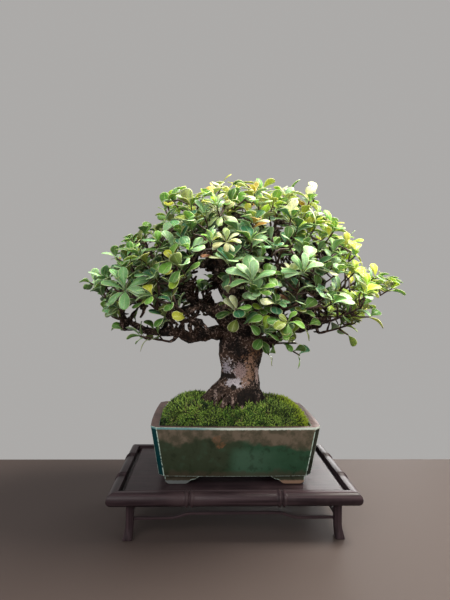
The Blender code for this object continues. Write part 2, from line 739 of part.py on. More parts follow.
def beads(line, radii, spacing=1.5 * MM):
    """Balls strung along a tapered route, to measure how close other pieces come to it."""
    rows = []
    for a, b, ra, rb in zip(line, line[1:], radii, radii[1:]):
        count = max(1, math.ceil((b - a).length / spacing))
        for i in range(count + 1):
            t = i / count
            p = a.lerp(b, t)
            rows.append((p.x, p.y, p.z, ra + (rb - ra) * t))
    return rows


def plates_apart(a, b, gap):
    """True where two thin boxes (centre, three axes, half sizes) stay a gap apart."""
    centre_a, axes_a, half_a = a
    centre_b, axes_b, half_b = b
    between = centre_b - centre_a
    trials = list(axes_a) + list(axes_b)
    trials += [np.cross(u, v) for u in axes_a for v in axes_b]
    for axis in trials:
        size = math.sqrt(float(axis @ axis))
        if size < 1e-6:
            continue
        reach = float(np.abs(axes_a @ axis) @ half_a + np.abs(axes_b @ axis) @ half_b) / size
        if abs(float(between @ axis)) / size > reach + gap:
            return True
    return False


def clear_of_beads(plate, beads_array, gap):
    """True where a thin box stays a gap away from every ball."""
    if len(beads_array) == 0:
        return True
    centre, axes, half = plate
    local = np.abs((beads_array[:, :3] - centre) @ axes.T) - half
    distance = np.sqrt((np.maximum(local, 0.0) ** 2).sum(axis=1))
    return bool((distance > beads_array[:, 3] + gap).all())


def along_line(points, share):
    """The point at a share of a line of three points."""
    if share < 0.5:
        return points[0].lerp(points[1], share * 2.0)
    return points[1].lerp(points[2], share * 2.0 - 1.0)


def twig_line(base, direction, rng):
    """A spray's twig, nearly straight, with a slight bend."""
    bend = Vector((rng.uniform(-1, 1), rng.uniform(-1, 1), rng.uniform(0.0, 1.0))) * 1.6 * MM
    points = []
    for t in (0.0, 0.5, 1.0):
        points.append(base + direction * TWIG_LENGTH * t + bend * math.sin(math.pi * t))
    return points, taper(3, TWIG_ROOT_RADIUS, TWIG_TIP_RADIUS)


def leaf_frame(axis_point, radius, twig_direction, around, lean, rng):
    """A leaf's root, direction and face: rooted in its side of the twig, leaning off it, turned to the light."""
    side = twig_direction.orthogonal().normalized()
    other = twig_direction.cross(side)
    spoke = math.cos(around) * side + math.sin(around) * other
    root = axis_point + spoke * radius * 0.1
    direction = (math.cos(lean) * twig_direction + math.sin(lean) * spoke + Vector((0.0, 0.0, 0.18))).normalized()
    face = 0.55 * twig_direction + Vector((0.0, 0.0, 0.6)) + 0.25 * Vector((rng.uniform(-1, 1), rng.uniform(-1, 1), 0))
    face = (face - direction * face.dot(direction)).normalized()
    return root, direction, face


def leaf_plate(frame, length, width):
    """The thin box that a leaf's blade fills."""
    root, direction, face = frame
    across = direction.cross(face)
    axes = np.array([tuple(direction), tuple(across), tuple(face)])
    centre = root + direction * length * 0.59 + face * LEAF_ARCH * 0.5
    half = np.array([length * 0.42, width * 0.5, (LEAF_ARCH + LEAF_RIB) * 0.5 + 0.1 * MM])
    return np.array(tuple(centre)), axes, half


# Where leaves stand on a twig and on a side shoot: share of its length, turn round it and lean off it in degrees
TWIG_LEAVES = [(0.34, 0, 66), (0.50, 150, 62), (0.66, 270, 60), (0.84, 30, 62), (0.92, 126, 56), (0.78, 212, 60),
               (0.88, 300, 60), (0.97, 90, 24)]
SHOOT_LEAVES = [(0.62, 60, 62), (0.90, 180, 58), (0.94, 300, 56), (0.97, 40, 22)]
# Where side shoots leave a twig: share of its length, turn round it in degrees
SHOOT_PLACES = [(0.22, 70), (0.60, 250)]


def balls_apart(rows, others, gap):
    """True where every ball of one route stays a gap away from every ball of the others."""
    if len(rows) == 0 or len(others) == 0:
        return True
    a = np.array(rows)
    b = np.array(others)
    distance = np.linalg.norm(a[:, None, :3] - b[None, :, :3], axis=2)
    return bool((distance > a[:, None, 3] + b[None, :, 3] + gap).all())


def trunk_beads():
    """Balls inside the trunk, as wide as its sections."""
    rows = []
    for up, x, half_x, half_y in TRUNK_SECTIONS:
        for shift in (-0.3, 0.0, 0.3):
            rows.append(((x + shift * half_x) * MM, TRUNK_CENTRE.y, up * MM, max(half_x * 0.75, half_y) * MM))
    return rows


def grow_wood(rng):
    """Limbs, then for every spray a branch and a twig, each turned clear of what grew before it."""
    limbs = limb_routes()
    wood = trunk_beads()
    for line, radii in limbs:
        wood += beads(line, radii)
    twig_rows = []
    branches = []
    forks = []
    sprays = []
    for tip in spray_tips(rng):
        aim = spray_direction(tip)
        for trial in range(16):
            turn = Vector((rng.uniform(-1, 1), rng.uniform(-1, 1), rng.uniform(-1, 1))) * 0.05 * trial
            direction = (aim + turn).normalized()
            base = tip - direction * SPRAY_REACH
            line, radii, place = branch_to(limbs, base, direction)
            twig = twig_line(base + direction * TOUCH_GAP, direction, rng)
            new_wood = beads(line, radii)
            new_twig = beads(*twig)
            if (balls_apart(new_twig, wood, 0.4 * MM) and balls_apart(new_twig, twig_rows, 0.8 * MM)
                    and balls_apart(new_wood, twig_rows, 0.4 * MM)):
                break
        branches.append((line, radii))
        forks.append(place)
        wood += new_wood
        twig_rows += new_twig
        sprays.append({"twig": twig, "direction": direction, "shoots": [], "leaves": []})
    return end_at_last_fork(limbs, forks), branches, sprays, np.array(wood)


def shoot_line(twig, share, around, direction, rng):
    """A side shoot that leaves its twig at a slant and bends up."""
    points, radii = twig
    side = direction.orthogonal().normalized()
    spoke = math.cos(around) * side + math.sin(around) * direction.cross(side)
    start = along_line(points, share)
    leave = (0.55 * direction + spoke + Vector((0.0, 0.0, 0.15))).normalized()
    end = start + (leave + 0.25 * Vector((rng.uniform(-1, 1), rng.uniform(-1, 1), 0.8))).normalized() * SHOOT_LENGTH
    middle = start + leave * 0.5 * SHOOT_LENGTH
    return [start, middle, end], taper(3, SHOOT_ROOT_RADIUS, SHOOT_TIP_RADIUS)


def grow_shoots(rng, sprays, wood):
    """Side shoots, each turned round its twig until it stands clear, or left out where there is no room."""
    rows = {number: beads(*spray["twig"]) for number, spray in enumerate(sprays)}
    for number, spray in enumerate(sprays):
        for share, around in SHOOT_PLACES:
            for trial in range(12):
                turn = math.radians(around + rng.uniform(-15.0, 15.0) * trial)
                shoot = shoot_line(spray["twig"], share, turn, spray["direction"], rng)
                new = beads(*shoot)
                others = [row for owner, kept in rows.items() if owner != number for row in kept]
                if balls_apart(new, wood, 0.4 * MM) and balls_apart(new, others, 0.6 * MM):
                    spray["shoots"].append(shoot)
                    rows[number] += new
                    break


def grow_leaf(rng, axis_point, radius, direction, around, lean, is_clear):
    """One leaf, tried at a few angles until it stands clear, or None where there is no room."""
    for trial in range(20):
        turned = math.radians(around + rng.uniform(-30.0, 30.0))
        leaning = math.radians(lean + rng.uniform(-9.0, 9.0))
        length = LEAF_LENGTH * rng.uniform(0.82, 1.06)
        width = LEAF_WIDTH * rng.uniform(0.85, 1.08)
        frame = leaf_frame(axis_point, radius, direction, turned, leaning, rng)
        plate = leaf_plate(frame, length, width)
        if is_clear(plate):
            return (frame, length, width), plate
    return None


def leaf_places(spray, rng):
    """Every leaf's place in a spray: point on the wood, radius there, direction, turn and lean."""
    turn = rng.uniform(0.0, 360.0)
    points, radii = spray["twig"]
    for share, around, lean in TWIG_LEAVES:
        yield along_line(points, share), radii[2], spray["direction"], turn + around, lean
    for points, radii in spray["shoots"]:
        turn = rng.uniform(0.0, 360.0)
        along = (points[2] - points[1]).normalized()
        for share, around, lean in SHOOT_LEAVES:
            yield along_line(points, share), radii[2], along, turn + around, lean


def grow_crown():
    """The whole crown: wood first, then the leaves of every spray in turn."""
    rng = random.Random(CROWN_SEED)
    limbs, branches, sprays, wood = grow_wood(rng)
    grow_shoots(rng, sprays, wood)
    grown = []
    for index, spray in enumerate(sprays):
        near = [row for other in sprays if other is not spray
                for line, radii in [other["twig"]] + other["shoots"] for row in beads(line, radii)]
        obstacles = np.concatenate([wood, np.array(near)])

        def is_clear(plate):
            if not clear_of_beads(plate, obstacles, 0.35 * MM):
                return False
            rivals = [(owner, other) for owner, other in grown
                      if np.abs(other[0] - plate[0]).max() < 2.0 * LEAF_LENGTH]
            return all(plates_apart(plate, other, 0.0 if owner == index else 0.3 * MM) for owner, other in rivals)

        for axis_point, radius, direction, around, lean in leaf_places(spray, rng):
            leaf = grow_leaf(rng, axis_point, radius, direction, around, lean, is_clear)
            if leaf:
                spray["leaves"].append(leaf[0])
                grown.append((index, leaf[1]))
    return limbs, branches, sprays


def leaf_mesh(frame, length, width):
    """An obovate barberry leaf: pointed foot, widest past the middle, blunt tip, arched, with a rib beneath."""
    root, direction, face = frame
    across = direction.cross(face)
    outline = [(0.0, 0.0, 0.0), (0.60, 0.50, LEAF_ARCH), (0.97, 0.26, 0.0), (0.97, -0.26, 0.0),
               (0.60, -0.50, LEAF_ARCH)]
    verts = [root + direction * along * length + across * side * width + face * lift for along, side, lift in outline]
    verts.append(root + direction * 0.30 * length - face * LEAF_RIB)
    faces = [(0, 1, 4), (1, 2, 3), (1, 3, 4), (5, 1, 0), (5, 2, 1), (5, 3, 2), (5, 4, 3), (5, 0, 4)]
    mesh = bpy.data.meshes.new("leaf")
    mesh.from_pydata([tuple(v) for v in verts], [], faces)
    bm = bmesh.new()
    bm.from_mesh(mesh)
    bmesh.ops.recalc_face_normals(bm, faces=bm.faces[:])
    bm.to_mesh(mesh)
    bm.free()
    return mesh


def spray_green(spray):
    """Which green a spray has: plain on the left, yellow at the top and the right end, blue in the middle."""
    end = spray["twig"][0][2]
    if end.x < -50.0 * MM:
        return 0
    if end.z > 300.0 * MM or end.x > 80.0 * MM:
        return 2
    return 1


def build_tree(bark, greens):
    limbs, branches, sprays = grow_crown()
    sections = [[value * MM for value in row] for row in TRUNK_SECTIONS]
    base = sections[0]
    rings = [root_hole(ROOT_END, -0.6 * MM), root_hole(ROOT_END + 6.0 * MM, 0.0)]
    rings += [trunk_ring(up, x, half_x, half_y) for up, x, half_x, half_y in sections]
    wood = [loft(rings)] + [tube(line, radii, LIMB_SIDES) for line, radii in limbs]
    for (line, radii), spray in zip(branches, sprays):
        wood.append(tube(line, radii, BRANCH_SIDES, end_along=spray["direction"]))
    trunk = fuse("trunk_and_branches", wood, bark)
    shade_round(trunk.data, 50.0)
    for number, spray in enumerate(sprays, start=1):
        line, radii = spray["twig"]
        twig = tube(line, radii, BRANCH_SIDES, start_along=spray["direction"])
        shoots = [tube(*shoot, SHOOT_SIDES) for shoot in spray["shoots"]]
        leaves = [leaf_mesh(*leaf) for leaf in spray["leaves"]]
        fuse(f"spray_{number:02d}", [twig] + shoots + leaves, greens[spray_green(spray)])


def main():
    clear_scene()
    stand_wood = make_material("stand_wood", (0.050, 0.030, 0.030), 0.38)
    glaze = make_material("green_glaze", (0.030, 0.085, 0.060), 0.18, coat=0.6)
    plastic = make_material("screen_plastic", (0.02, 0.02, 0.02), 0.5)
    earth = make_material("soil", (0.060, 0.040, 0.028), 0.95)
    moss = make_material("moss", (0.085, 0.190, 0.020), 0.90)
    bark = make_material("barberry_bark", (0.090, 0.055, 0.040), 0.85)
    greens = [make_material("leaf_green", (0.13, 0.28, 0.07), 0.5),
              make_material("leaf_blue_green", (0.09, 0.25, 0.12), 0.5),
              make_material("leaf_yellow_green", (0.33, 0.42, 0.06), 0.5)]
    build_panel(stand_wood)
    build_rails(stand_wood)
    build_legs(stand_wood)
    build_stretchers(stand_wood)
    build_pot(glaze)
    build_screens(plastic)
    build_soil(earth)
    build_moss(moss)
    build_tree(bark, greens)


main()
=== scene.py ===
# %% [markdown]
# # A barberry bonsai on its display stand
#
# This lesson dresses a finished solid model of a small potted tree. The solid model gives every size and place.
# Here the same pieces get their finer forms and their finishes: a satin dark wood stand, a mottled green glaze,
# a mound of star moss, scaly bark with patches of bare wood, and some 2,600 small leaves.

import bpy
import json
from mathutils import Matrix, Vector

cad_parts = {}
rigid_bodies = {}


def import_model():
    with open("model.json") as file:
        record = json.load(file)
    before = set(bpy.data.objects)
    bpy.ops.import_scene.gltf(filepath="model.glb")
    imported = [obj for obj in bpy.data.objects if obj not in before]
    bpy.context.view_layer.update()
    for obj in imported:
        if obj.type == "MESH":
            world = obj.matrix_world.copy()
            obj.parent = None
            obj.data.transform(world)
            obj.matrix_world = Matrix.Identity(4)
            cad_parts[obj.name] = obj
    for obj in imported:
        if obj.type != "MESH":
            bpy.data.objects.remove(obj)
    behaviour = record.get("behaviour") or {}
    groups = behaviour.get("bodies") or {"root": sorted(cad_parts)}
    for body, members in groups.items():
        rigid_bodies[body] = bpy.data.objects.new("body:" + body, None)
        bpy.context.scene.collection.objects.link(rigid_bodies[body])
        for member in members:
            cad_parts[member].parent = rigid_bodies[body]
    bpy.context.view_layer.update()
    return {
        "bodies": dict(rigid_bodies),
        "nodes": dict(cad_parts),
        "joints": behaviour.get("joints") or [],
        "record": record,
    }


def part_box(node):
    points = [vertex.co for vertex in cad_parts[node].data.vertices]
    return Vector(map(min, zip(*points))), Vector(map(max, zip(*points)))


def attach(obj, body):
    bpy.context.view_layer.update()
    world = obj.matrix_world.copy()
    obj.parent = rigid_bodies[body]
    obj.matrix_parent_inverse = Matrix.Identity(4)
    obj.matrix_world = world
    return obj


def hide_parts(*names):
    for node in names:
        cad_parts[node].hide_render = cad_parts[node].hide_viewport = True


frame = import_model()
print("nodes in the frame:", len(frame["nodes"]))

# %% Modules and units
import json
import math
import random

import bmesh
import bpy
import numpy as np
from mathutils import Matrix, Vector, noise

MM = 0.001
STAND_CENTRE = Vector((-11.5, 0.8, 0.0)) * MM
UP = Vector((0.0, 0.0, 1.0))


def add_object(name, data):
    """A new object with this data, linked into the scene."""
    obj = bpy.data.objects.new(name, data)
    bpy.context.scene.collection.objects.link(obj)
    return obj


def clamped(value):
    """A value kept between 0 and 1."""
    return min(1.0, max(0.0, value))


# %% [markdown]
# ## The photographer's corner
#
# The picture was taken a little above the rim of the pot, close to the tree, with a wide lens. A camera in
# Blender looks down its own -Z, so its three axes can be worked out from a heading, a tilt and a roll. Four soft
# lamps light the tree: the key lamp from above on the right, a large one from the front on the left, and weaker
# ones from the right and from behind. A pale surrounding fills the shadows.

# %% Camera
CAMERA_PLACE = Vector((-42.0, -489.8, 228.4)) * MM
HEADING = math.radians(2.42)
TILT_DOWN = math.radians(0.14)
ROLL = math.radians(0.83)
LENS_MM = 27.0
SENSOR_MM = 36.0


def place_camera():
    ahead = Vector((math.sin(HEADING) * math.cos(TILT_DOWN), math.cos(HEADING) * math.cos(TILT_DOWN),
                    -math.sin(TILT_DOWN)))
    level_right = Vector((math.cos(HEADING), -math.sin(HEADING), 0.0))
    level_up = level_right.cross(ahead)
    right = math.cos(ROLL) * level_right + math.sin(ROLL) * level_up
    up = math.cos(ROLL) * level_up - math.sin(ROLL) * level_right
    data = bpy.data.cameras.new("camera")
    data.lens = LENS_MM
    data.sensor_width = SENSOR_MM
    data.clip_start = 0.01
    camera = add_object("camera", data)
    camera.matrix_world = Matrix.Translation(CAMERA_PLACE) @ Matrix((right, up, -ahead)).transposed().to_4x4()
    bpy.context.scene.camera = camera
    return camera


camera = place_camera()
print("camera at", [round(v, 4) for v in camera.location])

# %% Lamps and surroundings
# Name, place in metres, size, power in watts and colour
LAMPS = [("key_lamp", (0.42, -0.05, 0.95), 0.40, 23.0, (1.0, 0.96, 0.86)),
         ("front_lamp", (-0.55, -1.05, 0.75), 0.90, 10.0, (1.0, 0.98, 0.96)),
         ("side_lamp", (0.95, -0.55, 0.45), 0.60, 4.0, (1.0, 0.95, 0.88)),
         ("back_lamp", (0.55, 1.05, 0.43), 0.45, 5.0, (1.0, 0.99, 0.97))]
LOOK_AT = Vector((0.0, 0.0, 0.20))
SURROUND_COLOUR = (0.86, 0.84, 0.82, 1.0)
SURROUND_STRENGTH = 0.48


def add_lamp(name, place, size, power, colour):
    data = bpy.data.lights.new(name, "AREA")
    data.size = size
    data.energy = power
    data.color = colour
    lamp = add_object(name, data)
    lamp.location = place
    lamp.rotation_euler = (LOOK_AT - Vector(place)).to_track_quat("-Z", "Y").to_euler()


for lamp_facts in LAMPS:
    add_lamp(*lamp_facts)
world = bpy.data.worlds.new("surroundings")
world.use_nodes = True
background = world.node_tree.nodes["Background"]
background.inputs["Color"].default_value = SURROUND_COLOUR
background.inputs["Strength"].default_value = SURROUND_STRENGTH
bpy.context.scene.world = world
bpy.context.scene.view_settings.view_transform = "Standard"
print("lamps:", [facts[0] for facts in LAMPS])

# %% [markdown]
# ## Helpers for materials
#
# A shader is a web of nodes. Written out one by one, each node takes five or six lines. `put` adds a node, sets
# its options and joins its inputs in one call, and `fill` joins the inputs of a node that is already there. The
# others stand for nodes that come again and again: arithmetic, ranges, colour mixes, noise and bumps.

# %% Node helpers
def fill(tree, node, inputs):
    """Fills or joins a node's inputs by name or number."""
    for socket, value in inputs.items():
        if isinstance(value, bpy.types.NodeSocket):
            tree.links.new(value, node.inputs[socket])
        else:
            node.inputs[socket].default_value = value
    return node


def put(tree, kind, inputs=None, **settings):
    """Adds a node, sets its options, and fills or joins its inputs."""
    node = tree.nodes.new(kind)
    for option, value in settings.items():
        setattr(node, option, value)
    return fill(tree, node, inputs or {})


def maths(tree, operation, *values):
    return put(tree, "ShaderNodeMath", dict(enumerate(values)), operation=operation).outputs[0]


def times(tree, first, second):
    return maths(tree, "MULTIPLY", first, second)


def vector_maths(tree, operation, *vectors):
    """Arithmetic on vectors. A length is a number, and every other result is a vector."""
    node = put(tree, "ShaderNodeVectorMath", dict(enumerate(vectors)), operation=operation)
    return node.outputs["Value" if operation == "LENGTH" else "Vector"]


def parts_of(tree, vector):
    """The X, Y and Z of a vector."""
    return put(tree, "ShaderNodeSeparateXYZ", {0: vector}).outputs


def ranged(tree, value, low, high, least=0.0, most=1.0, rise="LINEAR"):
    """Least at low, most at high, and a rise between them."""
    values = {"Value": value, "From Min": low, "From Max": high, "To Min": least, "To Max": most}
    return put(tree, "ShaderNodeMapRange", values, interpolation_type=rise).outputs["Result"]


def stepped(tree, value, low, high):
    """0 below low, 1 above high, and a smooth rise between them."""
    return ranged(tree, value, low, high, rise="SMOOTHSTEP")


def mixed(tree, share, first, second):
    """The first colour turning into the second as share goes from 0 to 1."""
    return put(tree, "ShaderNodeMix", {0: share, 6: first, 7: second}, data_type="RGBA").outputs[2]


def noisy(tree, place, scale, detail, **inputs):
    return put(tree, "ShaderNodeTexNoise", {"Vector": place, "Scale": scale, "Detail": detail, **inputs}).outputs


def bumps(tree, strength, depth, height):
    """A normal that shades a surface as if it had this relief."""
    values = {"Strength": strength, "Distance": depth, "Height": height}
    return put(tree, "ShaderNodeBump", values).outputs["Normal"]


def attribute(tree, name):
    """A mark that the mesh carries, as its colour and as its number."""
    return put(tree, "ShaderNodeAttribute", attribute_name=name).outputs


def own_place(tree):
    """The place of a point in its object's own frame."""
    return put(tree, "ShaderNodeTexCoord").outputs["Object"]


def fresh_material(name):
    material = bpy.data.materials.new(name)
    material.use_nodes = True
    return material, material.node_tree, material.node_tree.nodes["Principled BSDF"]


def paint(obj, *materials):
    obj.data.materials.clear()
    for material in materials:
        obj.data.materials.append(material)


def rgba(red, green, blue):
    return (red, green, blue, 1.0)


print("helpers ready")

# %% Effects that several materials share
def fresh_group(name, inputs, outputs):
    """A node group with a place, other inputs with their usual values, and outputs that are numbers."""
    tree = bpy.data.node_groups.new(name, "ShaderNodeTree")
    for socket, value in {"Vector": (0.0, 0.0, 0.0), **inputs}.items():
        kind = "NodeSocketVector" if isinstance(value, tuple) else "NodeSocketFloat"
        tree.interface.new_socket(socket, in_out="INPUT", socket_type=kind).default_value = value
    for socket in outputs:
        tree.interface.new_socket(socket, in_out="OUTPUT", socket_type="NodeSocketFloat")
    return tree, tree.nodes.new("NodeGroupInput").outputs, tree.nodes.new("NodeGroupOutput")


def make_mottle_group():
    """Cloudy patches at two sizes, for glaze, bark, soil and moss."""
    tree, given, end = fresh_group("mottle", {"Size": 40.0, "Fine": 260.0}, ["Broad", "Small"])
    broad = noisy(tree, given["Vector"], given["Size"], 4.0, Roughness=0.55)
    small = noisy(tree, given["Vector"], given["Fine"], 5.0, Roughness=0.6)
    fill(tree, end, {"Broad": broad["Fac"], "Small": small["Fac"]})
    return tree


def make_grain_group():
    """Streaks along one direction, as in planed wood: Stretch squeezes the pattern across the grain."""
    tree, given, end = fresh_group("grain", {"Stretch": (30.0, 700.0, 700.0)}, ["Streaks", "Pores"])
    squeezed = vector_maths(tree, "MULTIPLY", given["Vector"], given["Stretch"])
    streaks = noisy(tree, squeezed, 0.35, 5.0, Roughness=0.65, Distortion=0.25)
    pores = noisy(tree, squeezed, 1.6, 2.0)
    fill(tree, end, {"Streaks": streaks["Fac"], "Pores": pores["Fac"]})
    return tree


def make_patch_group():
    """A spot of another colour: an ellipse whose edge is moved by noise."""
    tree, given, end = fresh_group("bare_patch", {"Centre": (0.0, 0.0, 0.0), "Half Size": (0.01, 0.01, 0.01),
                                                  "Ragged": 0.8}, ["Mask"])
    away = vector_maths(tree, "SUBTRACT", given["Vector"], given["Centre"])
    size = vector_maths(tree, "LENGTH", vector_maths(tree, "DIVIDE", away, given["Half Size"]))
    rough = noisy(tree, given["Vector"], 380.0, 4.0, Roughness=0.65)["Fac"]
    wander = times(tree, maths(tree, "SUBTRACT", rough, 0.5), given["Ragged"])
    fill(tree, end, {"Mask": ranged(tree, maths(tree, "ADD", size, wander), 1.07, 0.93)})
    return tree


GROUPS = {"mottle": make_mottle_group(), "grain": make_grain_group(), "patch": make_patch_group()}


def shared(tree, effect, place, **inputs):
    """The outputs of a shared effect, placed in a material with its own values."""
    values = {"Vector": place, **{socket.replace("_", " "): value for socket, value in inputs.items()}}
    return put(tree, "ShaderNodeGroup", values, node_tree=GROUPS[effect]).outputs


print("shared effects:", sorted(GROUPS))

# %% [markdown]
# ## The stand's dark wood
#
# The stand is stained hardwood with a satin lacquer. Its colour runs in streaks along each stick, so the same
# material is made three times, with the grain along X, Y and Z. The streaks also roughen the lacquer a little,
# and a thin clear coat gives the soft grey sheen where light grazes the board.

# %% Stand wood
WOOD_DARK = rgba(0.014, 0.008, 0.010)
WOOD_LIGHT = rgba(0.050, 0.031, 0.036)
WOOD_WORN = rgba(0.044, 0.028, 0.031)
GRAIN_ALONG = 22.0
GRAIN_ACROSS = 620.0


def make_stand_wood(axis):
    material, tree, shader = fresh_material(f"stand_wood_{axis}")
    place = own_place(tree)
    stretch = [GRAIN_ALONG if axis == letter else GRAIN_ACROSS for letter in "xyz"]
    grain = shared(tree, "grain", place, Stretch=stretch)
    cloud = shared(tree, "mottle", place, Size=24.0, Fine=900.0)
    colour = mixed(tree, stepped(tree, grain["Streaks"], 0.36, 0.70), WOOD_DARK, WOOD_LIGHT)
    fill(tree, shader, {"Base Color": mixed(tree, stepped(tree, cloud["Broad"], 0.45, 0.75), colour, WOOD_WORN),
                        "Roughness": ranged(tree, grain["Streaks"], 0.0, 1.0, 0.30, 0.48),
                        "Normal": bumps(tree, 0.25, 0.0004, grain["Pores"]),
                        "Specular IOR Level": 0.17, "Coat Weight": 0.04, "Coat Roughness": 0.34})
    return material


stand_wood = {axis: make_stand_wood(axis) for axis in "xyz"}
print("wood finishes:", [material.name for material in stand_wood.values()])

# %% [markdown]
# ## Modelling helpers
#
# An operator in Blender acts on whatever is selected, so every step starts by selecting exactly what it means to
# change. `named` takes up the primitive that was just added. `pick` selects edges or faces in edit mode by a test
# on their place, as one would with the mouse.

# %% Selecting and finishing
MERGE_DISTANCE = 1e-6


def make_active(obj):
    """Selects this object and nothing else."""
    for other in bpy.context.selected_objects:
        other.select_set(False)
    bpy.context.view_layer.objects.active = obj
    obj.select_set(True)


def named(name):
    """Names the primitive that was just added, with its place moved into its mesh."""
    obj = bpy.context.object
    obj.name = name
    obj.data.name = name
    bpy.ops.object.transform_apply(location=True, rotation=True, scale=True)
    return obj


def edit(obj):
    """Opens an object for editing, with all of it selected."""
    make_active(obj)
    bpy.ops.object.mode_set(mode="EDIT")
    bpy.ops.mesh.select_all(action="SELECT")


def leave_edit():
    bpy.ops.object.mode_set(mode="OBJECT")


def pick(obj, kind, test):
    """In edit mode, selects only the EDGEs or FACEs that pass a test."""
    bpy.ops.mesh.select_mode(type=kind)
    bpy.ops.mesh.select_all(action="DESELECT")
    bm = bmesh.from_edit_mesh(obj.data)
    for part in bm.edges if kind == "EDGE" else bm.faces:
        if test(part):
            part.select = True
    bm.select_flush_mode()
    bmesh.update_edit_mesh(obj.data)


def extrude(x, y, z):
    bpy.ops.mesh.extrude_region_move(TRANSFORM_OT_translate={"value": (x, y, z)})


def slice_all(place, normal, **options):
    """Cuts the whole mesh along a plane."""
    bpy.ops.mesh.select_all(action="SELECT")
    bpy.ops.mesh.bisect(plane_co=place, plane_no=normal, **options)


def apply_modifier(obj, kind, **settings):
    """Adds a modifier, sets it, and applies it."""
    make_active(obj)
    modifier = obj.modifiers.new(kind.lower(), kind)
    for option, value in settings.items():
        setattr(modifier, option, value)
    bpy.ops.object.modifier_apply(modifier=modifier.name)


def join(obj, others):
    """The others become part of the first object."""
    make_active(obj)
    for other in others:
        other.select_set(True)
    bpy.ops.object.join()


def remove(*objects):
    for obj in objects:
        bpy.data.objects.remove(obj, do_unlink=True)


def outward(obj):
    """Merges doubles and turns every face outwards."""
    edit(obj)
    bpy.ops.mesh.remove_doubles(threshold=MERGE_DISTANCE)
    bpy.ops.mesh.normals_make_consistent(inside=False)
    leave_edit()


def soften(obj, degrees=35.0):
    """Smooth shading, except over edges that are sharper than this."""
    make_active(obj)
    bpy.ops.object.shade_smooth_by_angle(angle=math.radians(degrees))


def displace(obj, step):
    """Moves every point by a step that depends on its place and on its normal before anything moved."""
    normals = [vert.normal.copy() for vert in obj.data.vertices]
    for vert, normal in zip(obj.data.vertices, normals):
        vert.co = vert.co + step(vert.co, normal)


def point_rows(obj):
    """The places of an object's points as rows of numbers."""
    return np.array([tuple(vert.co) for vert in obj.data.vertices])


def copied(source, name):
    """A copy with its own mesh."""
    copy = source.copy()
    copy.data = source.data.copy()
    copy.name = name
    copy.data.name = name
    bpy.context.scene.collection.objects.link(copy)
    return copy


def twin(obj, name, matrix):
    """A copy that is moved by a matrix, which goes into its mesh."""
    copy = copied(obj, name)
    copy.data.transform(matrix)
    if matrix.determinant() < 0.0:
        copy.data.flip_normals()
    return copy


def settle(obj, slot, *nodes):
    """The piece rides on the one body and stands for its solids. Its slot is not used."""
    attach(obj, "root")
    if nodes:
        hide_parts(*nodes)


print("modelling helpers ready")

# %% [markdown]
# ## The stand's cane rails
#
# Each rail of the stand is carved to look like a half cane, with two raised rings at every node. It can be
# drawn by pushing one section along a line: a circle is squashed to the rail's section, its inner half is pressed
# flat, and the section is then extruded from station to station, swelling at the rings. The ends are cut at 45
# degrees, as in a picture frame.

# %% Rail sizes, from the frame
rail_low, rail_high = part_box("stand_rail_front")
RAIL_OUT = 10.0 * MM
RAIL_HALF_OUT = 6.0 * MM
RAIL_HALF_HEIGHT = 6.5 * MM
RAIL_MIDDLE = 40.5 * MM
RAIL_SPARE = 2.0 * MM
SECTION_POINTS = 28
MITRE_GAP = 0.15 * MM
STAND_HALF_X = 120.0 * MM
STAND_HALF_Y = 75.0 * MM
FRONT_RINGS = (-43.5 * MM, 43.5 * MM)
SIDE_RINGS = (-24.0 * MM, 34.0 * MM)
# A carved node along the rail: distance from its middle in mm, and the section's size there
NODE_SHAPE = [(-5.6, 1.0), (-4.3, 0.965), (-3.7, 1.02), (-3.2, 1.12), (-2.3, 1.18), (-1.5, 1.12), (-0.9, 0.99),
              (-0.35, 0.87), (0.35, 0.87), (0.9, 0.99), (1.5, 1.12), (2.3, 1.18), (3.2, 1.12), (3.7, 1.02),
              (4.3, 0.965), (5.6, 1.0)]
print("front rail is", [round((b - a) * 1000.0, 1) for a, b in zip(rail_low, rail_high)], "mm")

# %% One rail
def flatten_inside(rail, centre, inner):
    """In edit mode, presses the inner half of the section flat and narrows it a little."""
    bm = bmesh.from_edit_mesh(rail.data)
    for vert in bm.verts:
        if vert.co.y > centre.y:
            share = (vert.co.y - centre.y) / RAIL_HALF_OUT
            vert.co.y = centre.y + (inner - centre.y) * share ** 0.45
            if abs(vert.co.z - RAIL_MIDDLE) > 0.35 * RAIL_HALF_HEIGHT:
                side = math.copysign(1.0, vert.co.z - RAIL_MIDDLE)
                vert.co.z = RAIL_MIDDLE + side * RAIL_HALF_HEIGHT * (1.0 - 0.05 * share)
    bmesh.update_edit_mesh(rail.data)


